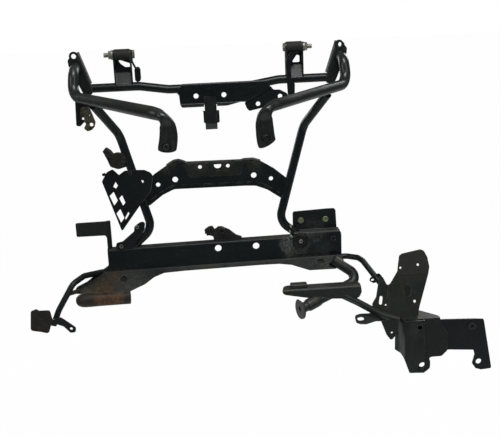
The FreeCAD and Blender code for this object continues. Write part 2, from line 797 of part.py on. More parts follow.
def make_end_plate():
    rim = [
        (-346.0, -73.0), (-336.0, -69.5), (-331.0, -73.0), (-312.0, -73.6), (-309.0, -92.0),
        (-318.0, -118.0), (-332.0, -114.0), (-350.0, -110.0)]
    body = sheet(rim, [4, 3, 2, 4, 6, 5, 8, 5], sheet_t, [])
    return facing_viewer(body, end_plate_back_y - sheet_t)


def make_end_tab():
    rim = [
        (-309.0, -92.0), (-303.0, -90.0), (-294.0, -88.0), (-268.5, -110.0),
        (-269.5, -119.0), (-279.0, -119.5), (-290.0, -106.5), (-302.0, -101.0),
        (-312.5, -104.0)]
    radii = [0, 4, 8, 5, 4, 3, 6, 6, 0]
    body = sheet(rim, radii, sheet_t, [round_hole(-277.0, -111.5, 2.6)])
    return facing_viewer(body, end_plate_back_y - sheet_t)


nodes["end_plate"] = make_end_plate()
nodes["end_tab"] = make_end_tab()


# Relay plate: pierced plate across the left side tube, turned away to the left

relay_y = -15.0
relay_x = -128.0


def on_relay(shape):
    return place(shape, (relay_x, relay_y, 0), (1, -0.7, 0), (0, 0, 1))


def make_relay_plate():
    rim = [
        (-102.1, 131.7), (-63.2, 38.5), (-15.9, 93.9), (12.0, 125.0), (20.2, 156.6),
        (0.2, 162.3), (-18.2, 160.7), (-46.0, 157.0), (-60.0, 147.5), (-74.7, 157.4),
        (-88.0, 151.0)]
    cutters = [
        window([(-69.0, 134.5), (-64.0, 127.5), (-69.5, 120.5), (-76.5, 123.5)], 0.8),
        window([(-75.4, 114.5), (-67.2, 98.0), (-77.5, 86.6), (-87.0, 104.7)], 1.2),
        window([(-56.0, 110.0), (-49.2, 96.2), (-56.0, 88.6), (-64.2, 102.2)], 1.2),
        window([(-62.8, 82.5), (-54.6, 65.8), (-64.5, 54.4), (-73.8, 71.8)], 1.2),
        window([(-43.9, 79.5), (-42.0, 75.0), (-52.4, 61.5), (-54.0, 65.5)], 0.8),
        window([(-9.6, 143.5), (-1.4, 141.5), (-6.0, 136.5)], 0.8)]
    body = sheet(rim, [4, 2, 4, 12, 10, 8, 8, 6, 3, 4, 6], thin_sheet_t, cutters)
    return on_relay(body)


nodes["relay_plate"] = main_piece(make_relay_plate().cut(left_side))
relay_pin = prism(6, 5.0, 5.0)
relay_pin.translate(V(-93.2, 146.5, 0))
nodes["relay_pin"] = on_relay(relay_pin)


# Guide tab on the outer side of the left side tube

def make_guide_tab():
    rim = [
        (-201.0, 194.0), (-195.0, 204.0), (-186.0, 197.0), (-182.0, 191.0), (-166.0, 192.0),
        (-158.0, 184.0), (-156.0, 166.0), (-176.0, 161.0), (-190.0, 166.0), (-194.0, 178.0)]
    body = sheet(rim, [4, 3, 4, 4, 8, 6, 4, 10, 8, 6], sheet_t, [round_hole(-172.0, 180.0, 2.6)])
    body = facing_viewer(body, side_upper_bend[1] - sheet_t / 2)
    return main_piece(body.cut(left_side))


nodes["guide_tab"] = make_guide_tab()


# Knee bracket over the lower bend of the left side tube, with a spring clip at each end

knee_front_y = side_upper_bend[1] - frame_tube_r - sheet_t


def make_knee_bracket():
    rim = [
        (-133.0, 61.0), (-143.0, 60.0), (-154.5, 52.5), (-155.5, 43.0), (-178.0, 24.5),
        (-190.0, 22.0), (-195.0, 0.0), (-168.0, 0.0),
        (-143.0, 35.0), (-136.0, 45.0)]
    body = sheet(rim, [5, 5, 6, 4, 6, 4, 0, 0, 8, 6], sheet_t, [])
    return main_piece(facing_viewer(body, knee_front_y).cut(below_flange))


nodes["knee_bracket"] = make_knee_bracket()


def make_knee_clips():
    clips = []
    for x, z in ((-149.0, 52.0), (-181.0, 16.0)):
        band = ring_face(V(x, knee_front_y - 4.5, z), V(0, 1, 0), 3.4, 2.0)
        clips.append(band.extrude(V(0, 4.5, 0)))
    return Part.makeCompound(clips)


nodes["knee_spring_clips"] = make_knee_clips()


# Nut plate on the channel's right end: face, ledge over the channel's flange, upper plate

nut_plate_face_y = -sheet_t
nut_ledge_z = 22.0
nut_upper_y = 15.0
press_nuts = [(160.5, 41.0), (208.0, 41.0)]


def make_nut_plate():
    upper_top_z = 61.0
    profile = [
        (nut_upper_y, upper_top_z + 5), (nut_upper_y, nut_ledge_z),
        (nut_plate_face_y, nut_ledge_z), (nut_plate_face_y, -30.0)]
    body = folded(profile, sheet_t, 1.5, 110)
    body = place(body, (135, 0, 0), (0, 1, 0), (0, 0, 1))
    rim = [
        (145.2, 58.8), (144.5, -16.0), (150.0, -20.5), (235.5, -21.0), (232.7, 23.0),
        (229.5, 23.0), (227.5, upper_top_z), (212.0, 61.2)]
    blank = outline_face(rim, [4, 4, 4, 5, 1, 1, 5, 0]).extrude(V(0, 0, -60))
    body = body.common(facing_viewer(blank, -20))
    for x, z in press_nuts:
        hole = facing_viewer(round_hole(x, z, 3.0), 0)
        body = body.cut(hole)
    body = body.cut(facing_viewer(round_hole(grommet_x, grommet_z, grommet_bore_r), 0))
    return main_piece(body)


grommet_x = 157.5
grommet_z = 5.5
grommet_r = 12.5
grommet_bore_r = 4.0
nodes["nut_plate"] = main_piece(make_nut_plate().cut(right_side))


def make_press_nuts():
    nuts = []
    for x, z in press_nuts:
        nut = ring_face(V(x, nut_upper_y - 1.4, z), V(0, 1, 0), 5.0, 2.2)
        nuts.append(nut.extrude(V(0, 1.4, 0)))
    return Part.makeCompound(nuts)


def make_grommet():
    seat_y = nut_plate_face_y
    flange = Part.makeCylinder(grommet_r, 4.0, V(grommet_x, seat_y, grommet_z), V(0, -1, 0))
    dome = Part.makeCylinder(8.5, 6.0, V(grommet_x, seat_y, grommet_z), V(0, -1, 0))
    body = flange.fuse(dome)
    bore = Part.makeCylinder(grommet_bore_r, 20, V(grommet_x, 5, grommet_z), V(0, -1, 0))
    return body.cut(bore).removeSplitter()


nodes["pressed_nuts"] = make_press_nuts()
nodes["grommet"] = make_grommet()
nodes["grommet_collar"] = ring_face(
    V(grommet_x, nut_plate_face_y, grommet_z), V(0, -1, 0), grommet_bore_r, 2.0).extrude(
        V(0, -6.8, 0))
square_nut = prism(4, 10.0, 4.0).cut(round_hole(0, 0, 2.6))
square_nut.translate(V(219.4, 7.2, 0))
nodes["square_weld_nut"] = facing_viewer(square_nut, nut_plate_face_y)


# Bent tube at the right: out of the channel's shelf, round, and back to the end disc

bent_tube_corner = (265.0, -33.0, -66.0)
disc_centre = (146.0, -75.0, -103.5)
bent_tube_start = (206.0, 6.0, -24.0)
disc_r = 19.0
disc_t = 3.0


def make_bent_tube():
    body = tube([bent_tube_start, bent_tube_corner, disc_centre], [24], arm_tube_r, 0)
    body = body.cut(channel)
    body = body.cut(box(180, 300, -sheet_t, 40, -60, 30))
    return main_piece(body)


bent_tube = make_bent_tube()
nodes["right_bent_tube"] = bent_tube
disc_axis = (V(*disc_centre) - V(*bent_tube_corner)).normalize()


def make_end_disc():
    blank = sheet([(-disc_r, -disc_r), (disc_r, -disc_r), (disc_r, disc_r), (-disc_r, disc_r)],
                  [disc_r - 0.1] * 4, disc_t, [round_hole(0, 0, 5.0)])
    blank = blank.cut(box(-30, 30, disc_r - 4, 40, -10, 10))
    blank.translate(V(0, 0, disc_t))
    return place(blank, disc_centre, (-disc_axis.y, disc_axis.x, 0), (0, 0, 1))


nodes["end_disc"] = main_piece(make_end_disc().cut(bent_tube))


# Foot bar: folded bar over the bent tube, with a block on its left end

foot_back_y = -45.0
foot_front_y = -69.0
foot_top_z = -67.0


def make_foot_bar():
    profile = [
        (foot_back_y, foot_top_z), (foot_front_y, foot_top_z), (foot_front_y, -105.0)]
    body = folded(profile, sheet_t, bend_r, 160)
    body = place(body, (105, 0, 0), (0, 1, 0), (0, 0, 1))
    rim = [
        (113.0, -55.0), (112.0, -75.5), (148.0, -83.0), (175.0, -88.0), (222.0, -91.0),
        (256.0, -92.0), (261.0, -80.0), (258.0, -55.0)]
    blank = outline_face(rim, [0, 8, 10, 20, 20, 8, 6, 0]).extrude(V(0, 0, -90))
    body = body.common(facing_viewer(blank, foot_front_y - 10))
    top = outline_face(
        [(111.0, foot_front_y - 5), (262.0, foot_front_y - 5), (258.0, foot_back_y),
         (118.0, foot_back_y)], [0, 0, 12, 12]).extrude(V(0, 0, -60))
    top.translate(V(0, 0, foot_top_z + 5))
    return main_piece(body.common(top).cut(bent_tube))


foot_bar = make_foot_bar()
nodes["foot_bar"] = foot_bar
foot_block = box(129.0, 160.0, -64.0, -48.0, foot_top_z, foot_top_z + 7.0)
nodes["foot_block"] = foot_block.makeChamfer(1.2, foot_block.Edges)


# Box bracket at the far right: folded flank and front with a ledge on top

box_front_y = -100.0
ledge_z = -129.0
box_hole = (368.6, -222.0, 5.4)


def make_box_bracket():
    profile = [(322.0, -78.0), (335.3, box_front_y), (420.0, box_front_y)]
    body = folded(profile, sheet_t, bend_r, 130)
    body.translate(V(0, 0, -250))
    rim = [
        (310.0, ledge_z), (401.0, ledge_z), (407.0, -148.0), (416.5, -160.0),
        (416.5, -197.0), (406.0, -207.0),
        (379.0, -207.7), (384.5, -215.0), (384.5, -230.0), (374.0, -238.5), (346.0, -238.0),
        (335.5, -209.0), (330.0, -199.5), (310.0, -194.0)]
    radii = [0, 0, 6, 6, 6, 5, 4, 6, 9, 9, 6, 5, 4, 0]
    blank = outline_face(rim, radii).extrude(V(0, 0, -60))
    body = body.common(facing_viewer(blank, box_front_y - 20))
    x, z, radius = box_hole
    body = body.cut(facing_viewer(round_hole(x, z, radius), box_front_y))
    ledge = sheet(
        [(322.0, -78.0), (335.3, box_front_y), (402.5, box_front_y), (400.0, -88.0),
         (373.0, -58.0), (340.0, -62.0), (314.0, -74.0)],
        [0, 0, 2, 4, 8, 8, 2], sheet_t, [])
    ledge.translate(V(0, 0, ledge_z))
    body = body.fuse(ledge).removeSplitter()
    flank_hole = Part.makeCylinder(2.8, 40, V(325.5, -120.0, -162.0), V(0, 1, 0))
    return main_piece(body.cut(flank_hole))


box_bracket = make_box_bracket()
nodes["box_bracket"] = box_bracket


# Wing plate welded behind the box bracket's front

wing_front_y = box_front_y + sheet_t
wing_hole = (478.5, -224.5, 5.4)
wing_nut_x = 463.0
wing_nut_z = -151.0


def make_wing_plate():
    rim = [
        (385.0, -133.0), (461.0, -136.5), (485.5, -138.5), (504.0, -240.5),
        (484.0, -242.0), (473.0, -238.5), (466.0, -228.0), (470.5, -210.0),
        (468.0, -200.0), (419.0, -196.0), (412.0, -198.5), (385.0, -198.5)]
    x, z, radius = wing_hole
    holes = [round_hole(x, z, radius)]
    body = sheet(rim, [0, 10, 4, 3, 4, 6, 6, 6, 3, 8, 4, 0], sheet_t, holes)
    return facing_viewer(body, wing_front_y)


nodes["wing_plate"] = make_wing_plate()
wing_nut = ring_face(V(wing_nut_x, wing_front_y, wing_nut_z), V(0, -1, 0), 7.5, 3.4)
nodes["wing_weld_nut"] = wing_nut.extrude(V(0, -2.4, 0))


# Horn plate standing on the ledge and leaning back

horn_foot_z = -120.0
horn_lean = 0.35


def on_horn(shape):
    return place(shape, (0, -85.0, horn_foot_z), (1, 0, 0), (0, horn_lean, 1))


def make_horn_plate():
    rim = [
        (277.0, 17.5), (287.0, 32.0), (292.0, 54.0), (296.5, 74.5), (303.0, 66.0),
        (309.7, 50.5), (316.0, 56.0), (330.5, 77.0), (332.8, 91.0), (336.0, 106.0),
        (341.5, 109.5), (376.5, 115.4), (383.0, 112.5), (389.0, 100.0), (391.5, 81.5),
        (388.0, 67.0), (367.0, 8.0), (363.0, -9.6), (318.0, -9.6), (292.0, 2.0)]
    radii = [6, 10, 12, 3, 6, 4, 6, 10, 12, 4, 4, 6, 6, 10, 12, 12, 12, 2, 2, 10]
    cutters = [
        slot_hole(295.2, 25.0, 16.0, 6.0, 80),
        round_hole(303.8, 16.0, 1.6),
        round_hole(358.8, 19.2, 2.6),
        round_hole(370.0, 86.9, 2.4),
        round_hole(336.4, 83.2, 2.0)]
    body = sheet(rim, radii, sheet_t, cutters)
    boss = slot_hole(347.0, 40.0, 26.0, 13.0, 80).common(box(300, 400, 0, 90, 0, 1.2))
    rib = window([(306.0, 4.0), (309.0, 4.0), (313.0, 50.0), (309.0, 47.0)], 0)
    rib = rib.common(box(300, 400, -5, 90, 0, 1.6))
    body = body.fuse([boss, rib]).removeSplitter()
    body = on_horn(body)
    return main_piece(body.cut(box(250, 400, -150, 0, -160, ledge_z)))


horn_plate = make_horn_plate()
nodes["horn_plate"] = horn_plate


# Thin rod from behind the channel to the neck of the horn plate

thin_rod_back_y = 5.4
thin_rod_path = [
    (206.0, thin_rod_back_y, -33.0), (247.0, thin_rod_back_y, -33.5), (266.0, -8.0, -33.5),
    (273.0, -18.0, -36.5), (299.0, -64.0, -70.0)]
thin_rod = tube(thin_rod_path, [9, 7, 10], rod_r, 0)
thin_rod = main_piece(thin_rod.cut(horn_plate).cut(channel))
nodes["thin_rod"] = thin_rod


# Small clip plate on the thin rod beside the horn plate's neck

def make_rod_clip():
    rim = [
        (278.5, -66.0), (281.0, -60.0), (288.0, -53.5), (298.0, -52.5), (303.0, -58.0),
        (300.0, -68.0), (287.0, -71.0)]
    body = sheet(rim, [3, 3, 4, 3, 3, 4, 4], thin_sheet_t, [slot_hole(286.0, -64.0, 8.0, 3.8, 15)])
    return main_piece(facing_viewer(body, -51.8).cut(thin_rod).cut(horn_plate))


nodes["rod_clip"] = make_rod_clip()


# Double ridged arm from the foot bar to the box bracket

def make_lower_arm():
    start = V(236.0, -71.5, -89.8)
    stop = V(322.0, -88.0, -134.0)
    run = stop - start
    profile = [(-9.0, -3.0), (-6.0, 2.0), (0.0, -2.0), (6.0, 2.0), (9.0, -3.0)]
    body = folded(list(reversed(profile)), thin_sheet_t, 0.8, run.Length)
    normal = run.cross(V(0, -1, 0.45)).normalize()
    body = place(body, tuple(start), tuple(normal), tuple(run.cross(normal)))
    return body


lower_arm = make_lower_arm()
lower_arm = main_piece(lower_arm.cut(foot_bar).cut(box_bracket).cut(horn_plate))
nodes["right_lower_arm"] = lower_arm


# Ring tab and pointed tab under the lower arm

def make_ring_tab():
    rim = [
        (-13.5, -8.0), (-13.5, 9.0), (-3.0, 12.5), (14.0, 12.0), (28.0, 19.0), (42.0, 19.0),
        (56.0, 6.0), (56.0, -10.0), (24.0, -7.0), (5.0, -13.0), (-6.0, -12.0)]
    tilt = math.radians(25)
    body = sheet(rim, [7, 7, 5, 5, 4, 4, 3, 2, 10, 5, 4], sheet_t, [])
    body = body.cut(slot_hole(-3.5, 0.5, 13.0, 9.5, 10))
    return place(body, (260.0, -80.0, -129.0), (1, 0, 0), (0, math.cos(tilt), math.sin(tilt)))


nodes["ring_tab"] = main_piece(make_ring_tab().cut(lower_arm).cut(box_bracket))


def make_pointed_tab():
    rim = [
        (291.0, ledge_z), (302.0, -158.5), (309.5, -169.0), (314.0, -168.0),
        (321.0, -158.0), (323.0, ledge_z)]
    body = sheet(rim, [2, 8, 3, 3, 6, 0], sheet_t, [round_hole(312.0, -155.0, 2.0)])
    return facing_viewer(body, -95.0)


nodes["pointed_tab"] = main_piece(make_pointed_tab().cut(lower_arm))


# Moulded wiring clip on the flange behind the channel's top edge

def make_wiring_clip():
    rim = [
        (-7.0, 5.0), (-8.0, 22.0), (-17.0, 25.0), (-24.0, 29.0), (-22.0, 37.0), (-16.0, 41.0),
        (-8.0, 42.0), (-5.0, 35.0), (2.0, 40.0), (9.0, 40.0), (23.0, 33.0), (35.5, 22.0),
        (46.0, 18.0), (46.0, 5.0)]
    body = sheet(rim, [0, 4, 3, 2, 3, 3, 3, 1.5, 2, 4, 6, 6, 2, 0], 6.0, [])
    body = facing_viewer(body, 6.0)
    boss = Part.makeCylinder(4.5, 3.0, V(16.0, 6.0, 28.0), V(0, -1, 0))
    foot = box(-6, 42, 4, 15, 5, channel_top_z + 3.5)
    body = body.fuse([boss, foot]).removeSplitter()
    return main_piece(body.cut(below_flange))


nodes["wiring_clip"] = make_wiring_clip()


for name, shape in nodes.items():
    shape.exportStep("parts/" + name + ".step")
    print(name, shape.isValid(), len(shape.Solids), round(shape.Volume))
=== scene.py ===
import json
import math

import bmesh
import bpy
from mathutils import Matrix, Vector


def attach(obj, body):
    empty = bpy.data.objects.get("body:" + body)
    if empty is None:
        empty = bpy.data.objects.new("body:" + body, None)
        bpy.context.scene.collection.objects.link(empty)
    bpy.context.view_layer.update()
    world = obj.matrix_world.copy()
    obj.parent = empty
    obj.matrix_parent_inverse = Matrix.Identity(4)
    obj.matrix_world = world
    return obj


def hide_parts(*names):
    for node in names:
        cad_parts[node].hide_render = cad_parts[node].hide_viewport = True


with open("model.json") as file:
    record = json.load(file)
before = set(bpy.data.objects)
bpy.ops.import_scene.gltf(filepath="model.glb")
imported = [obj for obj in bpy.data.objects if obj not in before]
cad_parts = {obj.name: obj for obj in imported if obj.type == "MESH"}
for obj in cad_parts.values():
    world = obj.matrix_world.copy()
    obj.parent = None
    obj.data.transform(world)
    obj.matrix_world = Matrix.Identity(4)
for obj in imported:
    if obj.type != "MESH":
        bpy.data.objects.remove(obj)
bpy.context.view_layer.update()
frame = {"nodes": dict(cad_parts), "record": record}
nodes = frame["nodes"]


def clear_selection():
    bpy.ops.object.select_all(action="DESELECT")
    bpy.context.view_layer.objects.active = None


def select_only(piece):
    clear_selection()
    piece.select_set(True)
    bpy.context.view_layer.objects.active = piece


# Node helpers. A value is a plain number, a colour or what another node puts out.

share_input, under_input, over_input, blend_output = 0, 6, 7, 2


def add_node(tree, kind, **settings):
    node = tree.nodes.new(kind)
    for name, value in settings.items():
        setattr(node, name, value)
    return node


def link(tree, from_socket, to_socket):
    tree.links.new(from_socket, to_socket)


def feed(tree, value, socket):
    if isinstance(value, (int, float)):
        socket.default_value = value
    elif isinstance(value, tuple):
        socket.default_value = value + (1.0,)
    else:
        link(tree, value, socket)


def maths(tree, operation, first, second, clamp=False):
    node = add_node(tree, "ShaderNodeMath", operation=operation, use_clamp=clamp)
    feed(tree, first, node.inputs[0])
    feed(tree, second, node.inputs[1])
    return node.outputs[0]


def plus(tree, first, second):
    return maths(tree, "ADD", first, second)


def minus(tree, first, second):
    return maths(tree, "SUBTRACT", first, second)


def times(tree, first, second):
    return maths(tree, "MULTIPLY", first, second)


def blend_colours(tree, share, under, over):
    node = add_node(tree, "ShaderNodeMix", data_type="RGBA")
    feed(tree, share, node.inputs[share_input])
    feed(tree, under, node.inputs[under_input])
    feed(tree, over, node.inputs[over_input])
    return node.outputs[blend_output]


def object_place(tree):
    return add_node(tree, "ShaderNodeTexCoord").outputs["Object"]


def split_axes(tree, vector):
    node = add_node(tree, "ShaderNodeSeparateXYZ")
    link(tree, vector, node.inputs[0])
    return node.outputs


def cloud(tree, place, scale, detail, roughness=0.55):
    node = add_node(tree, "ShaderNodeTexNoise")
    link(tree, place, node.inputs["Vector"])
    feed(tree, scale, node.inputs["Scale"])
    feed(tree, detail, node.inputs["Detail"])
    feed(tree, roughness, node.inputs["Roughness"])
    return node.outputs["Fac"]


def between(tree, value, low, high):
    """A soft rise from 0 at the low value to 1 at the high one."""
    node = add_node(tree, "ShaderNodeMapRange", clamp=True, interpolation_type="SMOOTHSTEP")
    link(tree, value, node.inputs["Value"])
    feed(tree, low, node.inputs["From Min"])
    feed(tree, high, node.inputs["From Max"])
    return node.outputs["Result"]


def new_effect(name, inputs, outputs):
    """A node group with named inputs and outputs, and the sockets of both inside it."""
    tree = bpy.data.node_groups.new(name, "ShaderNodeTree")
    for label, value in inputs:
        socket = tree.interface.new_socket(
            name=label, in_out="INPUT", socket_type="NodeSocketFloat")
        socket.default_value = value
    for label in outputs:
        tree.interface.new_socket(name=label, in_out="OUTPUT", socket_type="NodeSocketFloat")
    given = add_node(tree, "NodeGroupInput").outputs
    result = add_node(tree, "NodeGroupOutput").inputs
    return tree, given, result


def use_effect(tree, effect, **values):
    node = add_node(tree, "ShaderNodeGroup", node_tree=effect)
    for label, value in values.items():
        node.inputs[label.replace("_", " ")].default_value = value
    return node.outputs


# Effects shared by the finishes

# Lighter colour along sharp edges: worn paint, and also a painted highlight on the edges
def make_edge_wear_and_highlight():
    tree, given, result = new_effect(
        "edge wear and highlight", [("Width", 0.0016), ("Patchiness", 60.0), ("Amount", 0.5)], ["Mask"])
    rounded = add_node(tree, "ShaderNodeBevel", samples=6)
    link(tree, given["Width"], rounded.inputs["Radius"])
    true_normal = add_node(tree, "ShaderNodeNewGeometry").outputs["Normal"]
    alike = add_node(tree, "ShaderNodeVectorMath", operation="DOT_PRODUCT")
    link(tree, rounded.outputs["Normal"], alike.inputs[0])
    link(tree, true_normal, alike.inputs[1])
    edge = between(tree, minus(tree, 1.0, alike.outputs["Value"]), 0.01, 0.15)
    patches = cloud(tree, object_place(tree), given["Patchiness"], 4.0, 0.5)
    worn_and_lit = between(tree, patches, 0.42, 0.62)
    link(tree, times(tree, times(tree, edge, worn_and_lit), given["Amount"]), result["Mask"])
    return tree


# Lighter colour on upward faces: settled dust, and also a painted highlight on the tops
def make_dust_and_top_highlight():
    tree, given, result = new_effect(
        "dust and top highlight", [("Amount", 0.5), ("Patch Size", 14.0)], ["Mask"])
    normal = add_node(tree, "ShaderNodeNewGeometry").outputs["Normal"]
    facing_up = between(tree, split_axes(tree, normal)["Z"], -0.1, 0.95)
    patches = cloud(tree, object_place(tree), given["Patch Size"], 6.0, 0.65)
    patchy_top = times(tree, facing_up, between(tree, patches, 0.3, 0.72))
    link(tree, maths(tree, "MULTIPLY", patchy_top, given["Amount"], clamp=True), result["Mask"])
    return tree


def make_rust_bloom():
    tree, given, result = new_effect(
        "rust bloom", [("Start", 0.6), ("Patch Size", 25.0)], ["Mask", "Depth"])
    place = object_place(tree)
    broad = cloud(tree, place, given["Patch Size"], 8.0, 0.7)
    mask = between(tree, broad, given["Start"], plus(tree, given["Start"], 0.12))
    link(tree, mask, result["Mask"])
    link(tree, times(tree, mask, cloud(tree, place, 900.0, 3.0)), result["Depth"])
    return tree


def make_fine_grain():
    tree, given, result = new_effect(
        "fine grain", [("Scale", 700.0), ("Scratches", 0.12)], ["Height", "Scratch"])
    place = object_place(tree)
    speck = cloud(tree, place, given["Scale"], 3.0, 0.5)
    drawn_out = add_node(tree, "ShaderNodeMapping")
    drawn_out.inputs["Rotation"].default_value = (0.3, 0.5, 0.9)
    drawn_out.inputs["Scale"].default_value = (40.0, 900.0, 260.0)
    link(tree, place, drawn_out.inputs["Vector"])
    lines = cloud(tree, drawn_out.outputs["Vector"], 1.0, 2.0)
    scratch = times(tree, between(tree, lines, 0.66, 0.74), given["Scratches"])
    link(tree, plus(tree, speck, scratch), result["Height"])
    link(tree, scratch, result["Scratch"])
    return tree


# The soft patches are used for stains and for painted highlight patches
def make_stain_and_highlight():
    """A soft patch round one spot of the assembly, broken up at its rim."""
    tree, given, result = new_effect(
        "stain_and_highlight", [("X", 0.0), ("Y", 0.0), ("Z", 0.0), ("Reach", 0.03)], ["Mask"])
    place = object_place(tree)
    spot = add_node(tree, "ShaderNodeCombineXYZ")
    for axis in "XYZ":
        link(tree, given[axis], spot.inputs[axis])
    away = add_node(tree, "ShaderNodeVectorMath", operation="DISTANCE")
    link(tree, place, away.inputs[0])
    link(tree, spot.outputs[0], away.inputs[1])
    share = maths(tree, "DIVIDE", away.outputs["Value"], given["Reach"])
    ragged = times(tree, cloud(tree, place, 55.0, 7.0, 0.7), 1.5)
    whole = minus(tree, 1.0, between(tree, plus(tree, share, ragged), 1.0, 1.65))
    specks = between(tree, cloud(tree, place, 190.0, 7.0, 0.75), 0.36, 0.6)
    link(tree, times(tree, whole, specks), result["Mask"])
    return tree


panel_edge = 0.0022


# Its mask carries the relief of a panel and painted light on it
def make_pressed_panel():
    """A panel pressed into a sheet, seen along Y, its sides leaning outward with height."""
    tree, given, result = new_effect(
        "pressed panel",
        [("Left", 0.0), ("Right", 0.1), ("Low", 0.0), ("High", 0.1), ("Lean", 0.0)], ["Mask"])
    spot = split_axes(tree, object_place(tree))
    above = minus(tree, spot["Z"], given["Low"])
    lean = times(tree, above, given["Lean"])
    from_left = minus(tree, plus(tree, spot["X"], lean), given["Left"])
    from_right = minus(tree, plus(tree, given["Right"], lean), spot["X"])
    below = minus(tree, given["High"], spot["Z"])
    mask = 1.0
    for inside in (from_left, from_right, above, below):
        mask = times(tree, mask, between(tree, inside, 0.0, panel_edge))
    link(tree, mask, result["Mask"])
    return tree


# Its mask carries the sink of an oval and painted shade in it
def make_pressed_oval():
    """An oval mark pressed into a sheet, seen along Y."""
    tree, given, result = new_effect(
        "pressed oval", [("X", 0.0), ("Z", 0.0), ("Wide", 0.01), ("High", 0.01)], ["Mask"])
    spot = split_axes(tree, object_place(tree))
    share = 0.0
    for axis, half in (("X", "Wide"), ("Z", "High")):
        away = maths(tree, "DIVIDE", minus(tree, spot[axis], given[axis]), given[half])
        share = plus(tree, share, times(tree, away, away))
    link(tree, minus(tree, 1.0, between(tree, share, 0.55, 1.0)), result["Mask"])
    return tree


edge_wear_and_highlight = make_edge_wear_and_highlight()
dust_and_top_highlight = make_dust_and_top_highlight()
rust_bloom = make_rust_bloom()
fine_grain = make_fine_grain()
stain_and_highlight = make_stain_and_highlight()
pressed_panel = make_pressed_panel()
pressed_oval = make_pressed_oval()


# Finishes. Stains, painted highlight patches and pressed marks are placed in metres, in the frame
# of the assembly.

def new_finish(name):
    finish = bpy.data.materials.new(name)
    finish.use_nodes = True
    return finish, finish.node_tree, finish.node_tree.nodes["Principled BSDF"]


def add_relief(tree, shader, height, strength, distance):
    relief = add_node(tree, "ShaderNodeBump")
    relief.inputs["Strength"].default_value = strength
    relief.inputs["Distance"].default_value = distance
    link(tree, height, relief.inputs["Height"])
    link(tree, relief.outputs["Normal"], shader.inputs["Normal"])


def painted(name, deep, faded, dust_and_highlight_colour, rough, specular, dust_and_highlight=0.5, wear_and_highlight=0.5, rust=0.66,
            rust_patch=25.0, rust_colours=((0.09, 0.035, 0.014), (0.24, 0.11, 0.05)),
            worn_and_highlight_colour=(0.13, 0.13, 0.125), bump=0.0002, stains_and_highlights=(), panel=None, oval=None):
    """Faded, mottled paint under dust, rust, stains and pressed marks, with worn edges. The dust on
    upward faces and the worn edges also stand as painted highlights.

    A stain is its place and reach, its strength and its colour; some stains are painted highlight
    patches. A panel or an oval is the settings of its effect, its strength, its colour and how far
    it rises or sinks. A panel's colour is painted light, and an oval's colour is painted shade.
    """
    finish, tree, shader = new_finish(name)
    place = object_place(tree)
    drift = between(tree, cloud(tree, place, 9.0, 5.0, 0.6), 0.32, 0.7)
    colour = blend_colours(tree, drift, deep, faded)
    mottle = between(tree, cloud(tree, place, 120.0, 4.0, 0.7), 0.35, 0.75)
    palest = tuple(channel * 1.6 for channel in faded)
    colour = blend_colours(tree, times(tree, mottle, 0.35), colour, palest)
    # Lighter colour on upward faces: dust, and also a painted top highlight
    dusty_and_lit = use_effect(tree, dust_and_top_highlight, Amount=dust_and_highlight)["Mask"]
    colour = blend_colours(tree, dusty_and_lit, colour, dust_and_highlight_colour)
    rusty = use_effect(tree, rust_bloom, Start=rust, Patch_Size=rust_patch)
    flakes = between(tree, cloud(tree, place, 240.0, 6.0, 0.7), 0.35, 0.65)
    oxide = blend_colours(tree, flakes, *rust_colours)
    colour = blend_colours(tree, rusty["Mask"], colour, oxide)
    # Stains, some of which are painted highlight patches
    for (x, y, z, reach), share, tint in stains_and_highlights:
        patch = use_effect(tree, stain_and_highlight, X=x, Y=y, Z=z, Reach=reach)["Mask"]
        colour = blend_colours(tree, times(tree, patch, share), colour, tint)
    # Pressed marks raise or sink the surface; a panel's colour is painted light and an oval's
    # colour is painted shade
    raised = 0.0
    for effect, marking in ((pressed_panel, panel), (pressed_oval, oval)):
        if marking:
            settings, share, tint, rise = marking
            mark = use_effect(tree, effect, **settings)["Mask"]
            colour = blend_colours(tree, times(tree, mark, share), colour, tint)
            raised = plus(tree, raised, times(tree, mark, rise))
    # Lighter colour on edges: wear, and also a painted edge highlight
    worn_and_lit = use_effect(tree, edge_wear_and_highlight, Amount=wear_and_highlight)["Mask"]
    colour = blend_colours(tree, worn_and_lit, colour, worn_and_highlight_colour)
    grain = use_effect(tree, fine_grain)
    colour = blend_colours(tree, times(tree, grain["Scratch"], 0.5), colour, worn_and_highlight_colour)
    link(tree, colour, shader.inputs["Base Color"])
    matt = plus(tree, rough, times(tree, dusty_and_lit, 0.3))
    matt = plus(tree, matt, times(tree, rusty["Mask"], 0.35))
    matt = maths(tree, "ADD", matt, times(tree, mottle, 0.08), clamp=True)
    link(tree, matt, shader.inputs["Roughness"])
    height = plus(tree, times(tree, grain["Height"], 0.35), rusty["Depth"])
    add_relief(tree, shader, plus(tree, height, raised), 0.6, bump)
    shader.inputs["Specular IOR Level"].default_value = specular
    return finish


